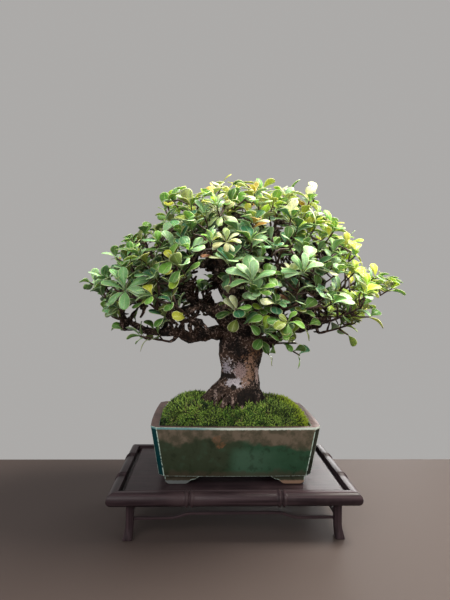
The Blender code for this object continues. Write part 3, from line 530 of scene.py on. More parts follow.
def cane_rail(name, half_length, half_across, rings):
    """A rail along X whose flat inner side lies at y = -(half_across - RAIL_OUT), outer side towards -Y."""
    centre = Vector((-half_length - RAIL_SPARE, -(half_across - RAIL_HALF_OUT), RAIL_MIDDLE))
    bpy.ops.mesh.primitive_circle_add(vertices=SECTION_POINTS, radius=1.0, fill_type="NGON", location=centre,
                                      rotation=(0.0, math.pi / 2.0, 0.0))
    bpy.context.object.scale = (RAIL_HALF_HEIGHT, RAIL_HALF_OUT, 1.0)
    rail = named(name)
    edit(rail)
    inner = -(half_across - RAIL_OUT)
    flatten_inside(rail, centre, inner)
    stations = [(ring + step * MM, size) for ring in rings for step, size in NODE_SHAPE]
    stations.append((half_length + RAIL_SPARE, 1.0))
    bpy.ops.mesh.select_all(action="SELECT")
    here, size_here = centre.x, 1.0
    for along, size in stations:
        extrude(along - here, 0.0, 0.0)
        bpy.ops.transform.resize(value=(1.0, size / size_here, size / size_here), center_override=centre)
        here, size_here = along, size
    for side in (-1.0, 1.0):
        corner = Vector((side * (half_length - MITRE_GAP), -half_across, RAIL_MIDDLE))
        slice_all(corner, (side, 1.0, 0.0), use_fill=True, clear_outer=True)
    leave_edit()
    outward(rail)
    # Nothing of the rail may stand past its flat inner side, where the board lies
    for vert in rail.data.vertices:
        vert.co.y = min(vert.co.y, inner)
    soften(rail, 40.0)
    return rail


front_rail = cane_rail("cane_rail_front", STAND_HALF_X, STAND_HALF_Y, FRONT_RINGS)
side_rail = cane_rail("cane_rail_right", STAND_HALF_Y, STAND_HALF_X, SIDE_RINGS)
print("front rail faces:", len(front_rail.data.polygons))

# %% All four rails in place
QUARTER_TURN = Matrix.Rotation(math.pi / 2.0, 4, "Z")
MIRROR_X = Matrix.Scale(-1.0, 4, (1.0, 0.0, 0.0))
MIRROR_Y = Matrix.Scale(-1.0, 4, (0.0, 1.0, 0.0))
TO_STAND = Matrix.Translation(STAND_CENTRE)


def place_sticks(kind, sticks):
    """Moves sticks of the stand to their places, each with the grain along it."""
    for side, stick in sticks.items():
        stick.data.transform(TO_STAND)
        paint(stick, stand_wood[{"front": "x", "back": "x", "left": "y", "right": "y"}.get(side, "z")])
        settle(stick, "stand_wood", f"{kind}_{side}")


side_rail.data.transform(QUARTER_TURN)
place_sticks("stand_rail", {"front": front_rail, "back": twin(front_rail, "cane_rail_back", MIRROR_Y),
                            "right": side_rail, "left": twin(side_rail, "cane_rail_left", MIRROR_X)})
print("right rail reaches x =", round(max(v.co.x for v in side_rail.data.vertices), 4))

# %% [markdown]
# ## Legs, stretchers and board
#
# The legs are square sticks that bend outwards to a small hoof. One is drawn: a square is extruded upwards in
# steps that follow the bend, its long edges are rounded with a bevel, and three mirrored copies stand at the
# other corners. The thin stretchers have a raised middle. The board's solid already has the right shape, so it
# keeps its own mesh and only gets the wood finish.

# %% One leg and its copies
LEG_X = 99.6 * MM
LEG_Y = 60.5 * MM
LEG_HALF = 3.6 * MM
LEG_TOP = 36.7 * MM
LEG_FLARE = 2.4 * MM
LEG_STEPS = 14
LEG_ROUNDING = 0.9 * MM
BEND_HEIGHT = 15.0 * MM
HOOF_HEIGHT = 13.0 * MM


def leg_shift(up):
    """How far the leg's middle has moved outwards at a height."""
    t = max(0.0, 1.0 - up / BEND_HEIGHT)
    return LEG_FLARE * (t ** 1.8 - 0.35 * t ** 7)


def leg_size(up):
    """The leg's thickness at a height, against its straight part."""
    t = max(0.0, 1.0 - up / HOOF_HEIGHT)
    return 1.0 + 0.24 * t ** 1.6


def one_leg(name):
    bpy.ops.mesh.primitive_plane_add(size=2.0 * LEG_HALF, location=(LEG_X, -LEG_Y, 0.0))
    leg = named(name)
    edit(leg)
    bpy.ops.transform.resize(value=(leg_size(0.0), leg_size(0.0), 1.0))
    bpy.ops.transform.translate(value=(leg_shift(0.0), -leg_shift(0.0), 0.0))
    levels = [LEG_TOP * (step / LEG_STEPS) ** 1.7 for step in range(LEG_STEPS + 1)]
    for low, high in zip(levels, levels[1:]):
        move = leg_shift(high) - leg_shift(low)
        grow = leg_size(high) / leg_size(low)
        extrude(move, -move, high - low)
        bpy.ops.transform.resize(value=(grow, grow, 1.0))
    leave_edit()
    outward(leg)
    edit(leg)
    pick(leg, "EDGE", lambda e: len(e.link_faces) == 2 and e.calc_face_angle(0.0) > math.radians(40.0))
    bpy.ops.mesh.bevel(offset=LEG_ROUNDING, segments=3)
    leave_edit()
    soften(leg)
    return leg


leg = one_leg("hoof_leg_front_right")
place_sticks("stand_leg", {"front_right": leg, "front_left": twin(leg, "hoof_leg_front_left", MIRROR_X),
                           "back_right": twin(leg, "hoof_leg_back_right", MIRROR_Y),
                           "back_left": twin(leg, "hoof_leg_back_left", MIRROR_X @ MIRROR_Y)})
print("leg faces:", len(leg.data.polygons))

# %% Stretchers with a raised middle
STRETCHER_LOW = 19.0 * MM
STRETCHER_HIGH = 23.5 * MM
STRETCHER_DEPTH = 3.2 * MM
STRETCHER_HEIGHT = 2.4 * MM
STRETCHER_CELLS = 40
HUMP_START = 0.36
HUMP_END = 0.56


def hump(share):
    """Height of the stretcher's middle line, share from 0 at a leg to 1 at mid span."""
    s = clamped((share - HUMP_START) / (HUMP_END - HUMP_START))
    return STRETCHER_LOW + (STRETCHER_HIGH - STRETCHER_LOW) * s * s * (3.0 - 2.0 * s)


def one_stretcher(name, span, off):
    """A stretcher along X between two legs, at y = -off."""
    bpy.ops.mesh.primitive_cube_add(size=1.0, location=(0.0, -off, STRETCHER_LOW))
    bpy.context.object.scale = (2.0 * span, STRETCHER_DEPTH, STRETCHER_HEIGHT)
    bar = named(name)
    edit(bar)
    for cut in range(1, STRETCHER_CELLS):
        slice_all((span * (cut / (STRETCHER_CELLS / 2.0) - 1.0), 0.0, 0.0), (1.0, 0.0, 0.0))
    leave_edit()
    for vert in bar.data.vertices:
        vert.co.z += hump(1.0 - abs(vert.co.x) / span) - STRETCHER_LOW
    apply_modifier(bar, "BEVEL", width=0.5 * MM, segments=2, limit_method="ANGLE")
    soften(bar)
    return bar


end_gap = LEG_HALF + 0.2 * MM
front_bar = one_stretcher("stretcher_front", LEG_X - end_gap, LEG_Y)
side_bar = one_stretcher("stretcher_right", LEG_Y - end_gap, LEG_X)
side_bar.data.transform(QUARTER_TURN)
place_sticks("stand_stretcher", {"front": front_bar, "back": twin(front_bar, "stretcher_back", MIRROR_Y),
                                 "right": side_bar, "left": twin(side_bar, "stretcher_left", MIRROR_X)})
paint(frame["nodes"]["stand_panel"], stand_wood["x"])
print("stretcher faces:", len(front_bar.data.polygons))

# %% [markdown]
# ## The glazed pot
#
# The pot is a shallow rectangular tray with leaning walls, cut corners, a flat rim and four cloud feet, thrown in
# stoneware and glazed outside. Its body starts as a block: the bottom is drawn in, the upright edges are cut off
# with a one-step bevel, the rim is an inset of the top, and the hollow is that face pushed down. Each wall bows
# out a little, as slabs do in the kiln. Fine bevels then round every edge, and those strips get a paler glaze,
# because glaze runs thin over an edge.

# %% Pot sizes, from the frame
pot_low, pot_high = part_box("pot")
POT_X = 0.9 * MM
RIM_TOP = 104.0 * MM
WALL_BOTTOM = 54.5 * MM
FLOOR_TOP = 61.0 * MM
RIM_WIDTH = 8.5 * MM
RIM_HALF = (85.5 * MM, 57.3 * MM)
BASE_HALF = (77.0 * MM, 51.5 * MM)
CUT_CORNER = 5.8 * MM
SIDE_BOW = 1.8 * MM
INNER_FLOOR_HALF = (71.6 * MM, 45.7 * MM)
RIM_DIP = 0.8 * MM
WALL_CUTS = 8
SOLE = 45.3 * MM
FOOT_THICKNESS = 7.0 * MM
print("pot solid is", [round((b - a) * 1000.0, 1) for a, b in zip(pot_low, pot_high)], "mm")

# %% The body
def scale_flat(half_from, half_to):
    """Resizes the selection about the pot's middle from one half size to another."""
    bpy.ops.transform.resize(value=(half_to[0] / half_from[0], half_to[1] / half_from[1], 1.0),
                             center_override=(POT_X, 0.0, 0.0))


def pot_body(name):
    middle = (RIM_TOP + WALL_BOTTOM) / 2.0
    bpy.ops.mesh.primitive_cube_add(size=1.0, location=(POT_X, 0.0, middle))
    bpy.context.object.scale = (2.0 * RIM_HALF[0], 2.0 * RIM_HALF[1], RIM_TOP - WALL_BOTTOM)
    body = named(name)
    edit(body)
    pick(body, "EDGE", lambda e: abs(e.verts[0].co.z - e.verts[1].co.z) > 10.0 * MM)
    bpy.ops.mesh.bevel(offset=CUT_CORNER, segments=1)
    pick(body, "FACE", lambda f: f.normal.z < -0.9)
    scale_flat(RIM_HALF, BASE_HALF)
    pick(body, "FACE", lambda f: f.normal.z > 0.9)
    bpy.ops.mesh.inset(thickness=RIM_WIDTH)
    bpy.ops.transform.translate(value=(0.0, 0.0, -RIM_DIP))
    extrude(0.0, 0.0, FLOOR_TOP - RIM_TOP + RIM_DIP)
    scale_flat((RIM_HALF[0] - RIM_WIDTH, RIM_HALF[1] - RIM_WIDTH), INNER_FLOOR_HALF)
    for part in range(1 - WALL_CUTS, WALL_CUTS):
        for normal, half in (((1.0, 0.0, 0.0), RIM_HALF[0] - 10.0 * MM), ((0.0, 1.0, 0.0), RIM_HALF[1] - 10.0 * MM)):
            off = half * part / WALL_CUTS
            slice_all((POT_X + off, off, off), normal)
    leave_edit()
    return body


def bow_walls(body):
    """Every wall keeps its place at its middle and draws back towards the corners by the bow."""
    for vert in body.data.vertices:
        x = (vert.co.x - POT_X) / (RIM_HALF[0] - CUT_CORNER)
        y = vert.co.y / (RIM_HALF[1] - CUT_CORNER)
        swell_x = 1.0 - min(1.0, y * y)
        swell_y = 1.0 - min(1.0, x * x)
        if abs(vert.co.x - POT_X) > 60.0 * MM:
            vert.co.x += math.copysign(SIDE_BOW, vert.co.x - POT_X) * (swell_x - 1.0)
        if abs(vert.co.y) > 38.0 * MM:
            vert.co.y += math.copysign(SIDE_BOW, vert.co.y) * (swell_y - 1.0)


pot = pot_body("glazed_pot")
bow_walls(pot)
outward(pot)
glaze_marks = [bpy.data.materials.new(f"glaze_{part}_mark") for part in ("body", "edge")]
paint(pot, *glaze_marks)
apply_modifier(pot, "BEVEL", width=1.1 * MM, segments=3, limit_method="ANGLE", angle_limit=math.radians(24.0),
               material=1)
print("body faces:", len(pot.data.polygons))

# %% [markdown]
# ### Cloud feet
#
# Each corner has two boards with a cloud profile: a round outer end, a sole, and two hollow curves that climb to
# the wall with a small cusp between them. The profile is a circle's points set along that line, pushed out to the
# board's thickness and rounded. The eight boards and the body then become one solid.

# %% One foot board
# The profile from the outer end inwards: mm inwards, mm above the sole
FOOT_PROFILE = [(0.0, 10.7), (0.0, 5.2), (0.3, 3.6), (1.0, 2.2), (2.2, 0.9), (3.8, 0.15), (5.5, 0.0), (12.0, 0.0),
                (19.8, 0.0), (21.6, 0.35), (23.4, 1.4), (25.0, 2.9), (26.4, 3.8), (27.8, 4.2), (29.4, 4.3),
                (30.2, 4.7), (31.8, 5.5), (33.4, 6.7), (34.8, 8.0), (36.0, 8.9), (36.0, 10.7)]


def foot_board(name, length):
    """A board in the XZ plane, its outer end at x = 0 and running to -X, its outer face at y = 0."""
    bpy.ops.mesh.primitive_circle_add(vertices=len(FOOT_PROFILE), radius=10.0 * MM, fill_type="NGON",
                                      rotation=(math.pi / 2.0, 0.0, 0.0))
    board = named(name)
    for vert, (inwards, up) in zip(board.data.vertices, FOOT_PROFILE):
        vert.co = (-inwards * length / FOOT_LENGTHS[0] * MM, 0.0, SOLE + up * MM)
    edit(board)
    extrude(0.0, FOOT_THICKNESS, 0.0)
    leave_edit()
    outward(board)
    paint(board, *glaze_marks)
    apply_modifier(board, "BEVEL", width=0.9 * MM, segments=2, limit_method="ANGLE",
                   angle_limit=math.radians(50.0), material=1)
    return board


# %% Eight boards at the four corners
FOOT_LENGTHS = (36.0, 26.0)
FOOT_CORNER = (BASE_HALF[0] - 7.5 * MM, BASE_HALF[1] - 5.0 * MM)
FOOT_STEP = 0.2 * MM
long_board = foot_board("long_foot", FOOT_LENGTHS[0])
short_board = foot_board("short_foot", FOOT_LENGTHS[1])
boards = []
for side_x in (-1.0, 1.0):
    for side_y in (-1.0, 1.0):
        front = Matrix.Translation((POT_X + side_x * FOOT_CORNER[0], side_y * FOOT_CORNER[1], 0.0))
        boards.append(twin(long_board, "foot_copy", front @ Matrix.Diagonal((side_x, -side_y, 1.0, 1.0))))
        flank = Matrix.Translation((POT_X + side_x * (FOOT_CORNER[0] - FOOT_STEP),
                                    side_y * (FOOT_CORNER[1] - FOOT_STEP), 0.1 * MM))
        flip = Matrix.Diagonal((side_x, side_y, 1.0, 1.0))
        boards.append(twin(short_board, "foot_copy", flank @ flip @ QUARTER_TURN))
remove(long_board, short_board)
print("boards:", len(boards))

# %% Union and drain holes
DRAIN_RADIUS = 7.0 * MM
DRAIN_OFF = 34.0 * MM


def combine(target, tool, operation):
    apply_modifier(target, "BOOLEAN", operation=operation, object=tool, solver="EXACT")
    remove(tool)


for board in boards:
    combine(pot, board, "UNION")
    print("faces with this board:", len(pot.data.polygons))
for side in (-1.0, 1.0):
    bpy.ops.mesh.primitive_cylinder_add(vertices=32, radius=DRAIN_RADIUS, depth=20.0 * MM,
                                        location=(POT_X + side * DRAIN_OFF, 0.0, 58.0 * MM))
    combine(pot, named("drain_tool"), "DIFFERENCE")
soften(pot, 32.0)
print("pot faces:", len(pot.data.polygons))

# %% Where the glaze runs thin
# A mark that is 1 on the bevel strips, which the material reads for its pale lines
thin_faces = [float(face.material_index == 1) for face in pot.data.polygons]
pot.data.attributes.new("thin_glaze", "FLOAT", "FACE").data.foreach_set("value", thin_faces)
pot.data.transform(TO_STAND)
settle(pot, "green_glaze", "pot")
print("thin glaze on", int(sum(thin_faces)), "faces")

# %% [markdown]
# ### Glaze
#
# The green glaze pooled and broke in the kiln. Under the lip runs a brown-grey band with a ragged lower edge. The
# left half is olive and the right half a cooler green, partly the glaze's colour and partly a painted reflection,
# with a lighter cloud low on the front that is a painted reflection. The cut corners are painted dark as painted
# shade, teal on the left and near black on the right. The lip is pale where the glaze breaks over it, with a painted
# highlight that runs from teal on the left to white on the right; the edges are pale, the rim is a matt mauve-brown,
# and the soles of the feet are bare clay. Each of these is a mask over the surface, and the masks blend the colours
# one after another.

# %% Glaze colours
GLAZE_OLIVE = rgba(0.028, 0.038, 0.021)
GLAZE_GREEN = rgba(0.020, 0.058, 0.031)
GLAZE_MOTTLE_AND_REFLECTION = rgba(0.045, 0.094, 0.060)
GLAZE_DEEP_AND_CORNER_SHADE = rgba(0.010, 0.015, 0.008)
GLAZE_BROWN = rgba(0.060, 0.040, 0.030)
GLAZE_BAND = rgba(0.128, 0.100, 0.072)
GLAZE_BAND_DARK = rgba(0.062, 0.055, 0.036)
GLAZE_RUST = rgba(0.165, 0.076, 0.038)
GLAZE_PALE = rgba(0.420, 0.540, 0.480)
TEAL_CORNER_SHADE = rgba(0.002, 0.036, 0.041)
LIP_TEAL = rgba(0.12, 0.26, 0.27)
LIP_PALE_AND_HIGHLIGHT = rgba(0.60, 0.66, 0.58)
RIM_MAUVE = rgba(0.190, 0.115, 0.100)
RIM_DARK = rgba(0.125, 0.075, 0.066)
BARE_CLAY = rgba(0.240, 0.150, 0.105)
SOLE_GREY = rgba(0.120, 0.130, 0.130)
print("glaze colours ready")

# %% Glaze material
def ragged(tree, height, cloud, amount):
    """A height with a cloud taken off it, for borders that run up and down."""
    return maths(tree, "MULTIPLY_ADD", cloud, -amount, height)


def make_glaze():
    """Each line of layers is a mask and the colour that it brings, from the walls to the rim and the soles."""
    material, tree, shader = fresh_material("ash_green_glaze")
    place = own_place(tree)
    x, z = parts_of(tree, place)["X"], parts_of(tree, place)["Z"]
    facing = parts_of(tree, put(tree, "ShaderNodeNewGeometry").outputs["Normal"])
    fine = shared(tree, "mottle", place, Size=45.0, Fine=420.0)["Small"]
    wide = shared(tree, "mottle", place, Size=18.0, Fine=120.0)
    broad, small = wide["Broad"], wide["Small"]
    rust = shared(tree, "patch", place, Centre=(-0.0280, -0.0560, 0.0900), Half_Size=(0.0075, 0.02, 0.0060),
                  Ragged=1.8)["Mask"]
    streaked = stepped(tree, small, 0.36, 0.62)
    leftwards = stepped(tree, x, 0.0, -0.02)
    flat = stepped(tree, facing["Z"], 0.80, 0.97)
    slanting = maths(tree, "ABSOLUTE", times(tree, facing["X"], facing["Y"]))
    begins = stepped(tree, ragged(tree, x, small, 0.010), -0.024, -0.012)
    low_down = stepped(tree, ragged(tree, z, small, 0.012), 0.081, 0.070)
    # Painted reflection: a lighter cloud low on the front, just right of the middle.
    painted_reflection = times(tree, times(tree, begins, stepped(tree, x, 0.040, 0.002)), low_down)
    foot_line = stepped(tree, ragged(tree, z, small, 0.014), 0.0555, 0.0495)
    layers = [
        (times(tree, painted_reflection, 0.85), GLAZE_MOTTLE_AND_REFLECTION),
        (times(tree, stepped(tree, small, 0.50, 0.70), 0.22), GLAZE_MOTTLE_AND_REFLECTION),
        (times(tree, foot_line, 0.6), GLAZE_BROWN),
        (times(tree, stepped(tree, small, 0.46, 0.30), 0.5), GLAZE_DEEP_AND_CORNER_SHADE),
        (stepped(tree, ragged(tree, z, broad, 0.050), 0.0620, 0.0660),
         mixed(tree, streaked, GLAZE_BAND_DARK, GLAZE_BAND)),
        (times(tree, rust, times(tree, stepped(tree, small, 0.34, 0.60), 0.75)), GLAZE_RUST),
        # Painted shade on the cut corners: dark teal on the left, near black on the right.
        (stepped(tree, slanting, 0.28, 0.40), mixed(tree, leftwards, GLAZE_DEEP_AND_CORNER_SHADE, TEAL_CORNER_SHADE)),
        # The lip's line: pale glaze where it breaks over the edge, and a painted highlight from teal on the left to
        # white on the right.
        (stepped(tree, ragged(tree, z, fine, 0.0016), 0.1005, 0.1016),
         mixed(tree, stepped(tree, x, -0.055, -0.015), LIP_TEAL, LIP_PALE_AND_HIGHLIGHT)),
        (times(tree, attribute(tree, "thin_glaze")["Fac"], stepped(tree, fine, 0.34, 0.56)), GLAZE_PALE),
        (flat, mixed(tree, streaked, RIM_DARK, RIM_MAUVE)),
        (stepped(tree, ragged(tree, z, fine, -0.002), 0.0508, 0.0492), mixed(tree, leftwards, BARE_CLAY, SOLE_GREY)),
        (stepped(tree, facing["Z"], -0.5, -0.9), BARE_CLAY),
    ]
    # Olive on the left and a cooler green on the right, partly the glaze's colour and partly a painted reflection.
    colour = mixed(tree, stepped(tree, ragged(tree, x, broad, 0.09), -0.066, -0.034), GLAZE_OLIVE, GLAZE_GREEN)
    for mask, tint in layers:
        colour = mixed(tree, mask, colour, tint)
    fill(tree, shader, {"Base Color": colour, "Roughness": ranged(tree, flat, 0.0, 1.0, 0.24, 0.55),
                        "Normal": bumps(tree, 0.15, 0.0006, small), "Specular IOR Level": 0.22,
                        "Coat Weight": 0.06, "Coat Roughness": 0.12})
    return material


glaze = make_glaze()
paint(pot, glaze, glaze)
print("pot finished")

# %% [markdown]
# ## Drain screens, soil and moss
#
# Two squares of plastic mesh keep the soil over the drain holes: a grid of cells turned into wires. The soil is
# hidden by the moss and keeps its solid with an earthy finish.

# %% Screens and soil
SCREEN_SIZE = 22.0 * MM
SCREEN_CELLS = 9
SCREEN_WIRE = 1.2 * MM


def mesh_screen(name, node):
    low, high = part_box(node)
    bpy.ops.mesh.primitive_grid_add(x_subdivisions=SCREEN_CELLS, y_subdivisions=SCREEN_CELLS,
                                    size=SCREEN_SIZE - SCREEN_WIRE, location=(low + high) / 2.0)
    screen = named(name)
    apply_modifier(screen, "WIREFRAME", thickness=SCREEN_WIRE, use_even_offset=False)
    outward(screen)
    settle(screen, "screen_plastic", node)
    return screen


def make_plain_finish(name, dark, light, roughness, size):
    """A mottled, slightly rough finish between two colours."""
    material, tree, shader = fresh_material(name)
    small = shared(tree, "mottle", own_place(tree), Size=size, Fine=size * 6.0)["Small"]
    fill(tree, shader, {"Base Color": mixed(tree, stepped(tree, small, 0.35, 0.65), dark, light),
                        "Normal": bumps(tree, 0.6, 0.0008, small), "Roughness": roughness})
    return material


screen_finish = make_plain_finish("black_mesh_plastic", rgba(0.012, 0.012, 0.012), rgba(0.03, 0.03, 0.03), 0.5, 200.0)
for side in ("left", "right"):
    paint(mesh_screen(f"mesh_screen_{side}", f"drain_screen_{side}"), screen_finish)
soil_finish = make_plain_finish("dark_grit", rgba(0.020, 0.013, 0.009), rgba(0.11, 0.075, 0.05), 0.95, 150.0)
paint(frame["nodes"]["soil"], soil_finish)
print("screens and soil done")

# %% [markdown]
# ### Moss
#
# Cushion moss is thousands of tiny star-like shoots on a soft mound. The mound starts as a copy of the solid moss,
# which is made finer with a voxel remesh and then pushed into lumps along its normals. On it stand the shoots:
# each is a star of thin three-sided spikes, modelled once and copied over the mound with its own turn, lean and
# size. The spikes carry a mark that is 0 at the foot and 1 at the tip, so that the material can keep the feet
# dark, as in shade, and the tips bright.

# %% The mound
MOSS_SEED = 53
MOSS_VOXEL = 1.5 * MM
MOSS_LUMP = 1.5 * MM
MOSS_EDGE = 4.0 * MM
moss_low, moss_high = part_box("moss")


def lumps(point):
    """Soft cushions about 12 mm wide with smaller ones on them, in metres."""
    wide = noise.noise(point * 85.0)
    small = noise.noise(point * 260.0 + Vector((5.0, 0.0, 0.0)))
    return (0.8 * wide + 0.5 * small) * MOSS_LUMP


def sag(point):
    """How far the cushion has settled, in metres: 2 mm at full height, more on either side and by the roots."""
    right = clamped((point.x / MM + 10.0) / 40.0)
    left = clamped((-18.0 - point.x / MM) / 15.0)
    height = clamped((point.z - moss_low.z) / MM / 22.0 - 0.2)
    off = math.hypot(point.x / MM + 3.0, point.y / MM + 0.2)
    by_roots = clamped(1.0 - (off - 40.0) / 17.0) * (1.0 - right)
    return (2.0 + 2.5 * right + 2.5 * left + 4.0 * by_roots) * height * MM


def moss_step(point, normal):
    """Into lumps along the normal, and down by the sag. The sides and the rim stay."""
    if normal.z > 0.15 and point.z > moss_low.z + MOSS_EDGE:
        return normal * lumps(point) - UP * sag(point)
    return Vector()


mound = copied(frame["nodes"]["moss"], "moss_mound")
mound.hide_render = False
edit(mound)
bpy.ops.mesh.remove_doubles(threshold=MERGE_DISTANCE)
leave_edit()
apply_modifier(mound, "REMESH", mode="VOXEL", voxel_size=MOSS_VOXEL, adaptivity=0.0)
displace(mound, moss_step)
soften(mound, 60.0)
print("mound faces:", len(mound.data.polygons), " top at", round(moss_high.z, 4))

# %% One star of moss
STAR_SPIKES = 6
SPIKE_LENGTH = 5.6 * MM
SPIKE_FOOT = 0.95 * MM
SPIKE_LEANS = (58.0, 78.0)


def moss_star(name):
    """An upright spike and a ring of leaning ones, each a three-sided cone with its foot at the origin."""
    spikes = []
    for i in range(STAR_SPIKES + 1):
        bpy.ops.mesh.primitive_cone_add(vertices=3, radius1=SPIKE_FOOT, radius2=0.0, depth=SPIKE_LENGTH,
                                        end_fill_type="NOTHING", location=(0.0, 0.0, 0.0))
        spike = named("moss_spike")
        spike.data.transform(Matrix.Translation((0.0, 0.0, 0.5 * SPIKE_LENGTH)))
        lean = math.radians(SPIKE_LEANS[i % 2]) if i else 0.0
        turn = Matrix.Rotation(math.radians(360.0 * i / STAR_SPIKES), 4, "Z") @ Matrix.Rotation(lean, 4, "Y")
        spike.data.transform(turn)
        spikes.append(spike)
    join(spikes[0], spikes[1:])
    return named(name)


star = moss_star("moss_star")
star_points = point_rows(star)
star_faces = np.array([tuple(face.vertices) for face in star.data.polygons])
star_tip = (np.linalg.norm(star_points, axis=1) > 0.6 * SPIKE_LENGTH).astype(float)
remove(star)
print("star points:", len(star_points), " tips:", int(star_tip.sum()))

# %% Stars all over the mound
STAR_COUNT = 3400
STAR_EDGE = 4.5 * MM


def top_faces(obj):
    """Corner points, normal and area of every face that looks up and stands clear of the rim."""
    return [([obj.data.vertices[i].co.copy() for i in face.vertices], face.normal.copy(), face.area)
            for face in obj.data.polygons
            if face.normal.z > 0.12 and face.center.z > moss_low.z + STAR_EDGE]


def star_turn(rng, normal):
    """A random turn about the star's own axis, then a lean from upright towards the mound's normal."""
    axis = (normal + Vector((rng.uniform(-0.45, 0.45), rng.uniform(-0.45, 0.45), 0.25))).normalized()
    spin = Matrix.Rotation(rng.uniform(0.0, 2.0 * math.pi), 3, "Z")
    return UP.rotation_difference(axis).to_matrix() @ spin


def moss_stars(name, obj):
    rng = random.Random(MOSS_SEED)
    rows = top_faces(obj)
    points = []
    tufts = []
    for corners, normal, area in rng.choices(rows, [area for corners, normal, area in rows], k=STAR_COUNT):
        near = corners[0].lerp(corners[1], rng.random())
        place = near.lerp(corners[2].lerp(corners[-1], rng.random()), rng.random())
        turn = np.array(star_turn(rng, normal)) * rng.uniform(0.55, 1.15)
        points.append(star_points @ turn.T + np.array(place))
        tufts.append(rng.random())
    count = len(star_points)
    faces = np.concatenate([star_faces + count * i for i in range(STAR_COUNT)])
    mesh = bpy.data.meshes.new(name)
    mesh.from_pydata(np.concatenate(points).tolist(), [], faces.tolist())
    for mark, values in (("tip", np.tile(star_tip, STAR_COUNT)), ("tuft", np.repeat(tufts, count))):
        mesh.attributes.new(mark, "FLOAT", "POINT").data.foreach_set("value", values)
    return add_object(name, mesh)


stars = moss_stars("moss_star_shoots", mound)
print("moss triangles:", len(stars.data.polygons))

# %% Moss material
MOSS_SHADE = rgba(0.007, 0.016, 0.004)
MOSS_GREEN = rgba(0.100, 0.265, 0.020)
MOSS_BRIGHT = rgba(0.600, 0.880, 0.150)
MOSS_OLIVE = rgba(0.105, 0.150, 0.022)
MOSS_STRAW = rgba(0.360, 0.300, 0.110)
MOSS_LIME = rgba(0.470, 0.620, 0.030)


def make_moss():
    """Dark feet and bright tips, olive and straw tufts, and lime where the sun catches the right back."""
    material, tree, shader = fresh_material("cushion_moss")
    place = own_place(tree)
    tuft = attribute(tree, "tuft")["Fac"]
    cloud = shared(tree, "mottle", place, Size=70.0, Fine=600.0)
    axes = parts_of(tree, place)
    towards_light = maths(tree, "MULTIPLY_ADD", axes["Y"], 0.22, axes["X"])
    colour = MOSS_GREEN
    for share, tint in ((stepped(tree, tuft, 0.45, 1.0), MOSS_BRIGHT),
                        (times(tree, stepped(tree, cloud["Broad"], 0.46, 0.66), 0.6), MOSS_OLIVE),
                        (stepped(tree, tuft, 0.48, 0.30), MOSS_SHADE),
                        (stepped(tree, tuft, 0.03, 0.02), MOSS_STRAW),
                        (stepped(tree, maths(tree, "MULTIPLY_ADD", tuft, 0.022, towards_light), 0.046, 0.068),
                         MOSS_LIME)):
        colour = mixed(tree, share, colour, tint)
    fill(tree, shader, {"Base Color": mixed(tree, attribute(tree, "tip")["Fac"], MOSS_SHADE, colour),
                        "Normal": bumps(tree, 0.5, 0.0006, cloud["Small"]), "Roughness": 0.75,
                        "Subsurface Weight": 0.2, "Subsurface Radius": (1.0, 1.0, 0.3),
                        "Subsurface Scale": 0.0008})
    return material


moss_finish = make_moss()
for piece in (mound, stars):
    paint(piece, moss_finish)
    settle(piece, "moss", "moss")
print("moss finished")

# %% [markdown]
# ## How the tree grows
#
# The tree is grown by rule, the same rule that made its solids, with the same seed and in the same order. So every
# limb, twig, side shoot and leaf comes out in the same place, and the finer ones made here can stand exactly where
# the solid ones are. First come the limbs, given as lists of points, and the tips that the leafy sprays have to
# reach: the outline seen from the front, then rings that fill the front, the back and the top.

# %% Limbs and tips, in mm
HEART = Vector((8.0, 0.0, 205.0)) * MM
SPRAY_REACH = 45.0 * MM
TWIG_LENGTH = 32.0 * MM
TWIG_ROOT = 1.35 * MM
TWIG_TIP = 0.8 * MM
SHOOT_LENGTH = 21.0 * MM
SHOOT_ROOT = 1.0 * MM
SHOOT_TIP = 0.75 * MM
LEAF_LENGTH = 17.0 * MM
LEAF_WIDTH = 10.5 * MM
LEAF_RIB = 1.3 * MM
LEAF_ARCH = 1.3 * MM
TOUCH_GAP = 0.3 * MM
CROWN_SEED = 7
TRUNK_Y = -1.0 * MM
TRUNK_SECTIONS = [(119.0, 8.5, 21.5, 19.5), (124.0, 8.5, 21.0, 19.0), (130.0, 8.5, 20.5, 18.5),
                  (138.0, 8.5, 20.2, 17.5), (148.0, 8.2, 19.6, 17.0), (157.0, 7.2, 20.2, 17.0),
                  (168.0, 7.6, 23.6, 18.5), (181.0, 9.0, 24.0, 19.0), (193.0, 9.0, 20.0, 16.5),
                  (207.0, 9.0, 14.0, 12.0), (220.0, 9.0, 8.0, 7.5)]
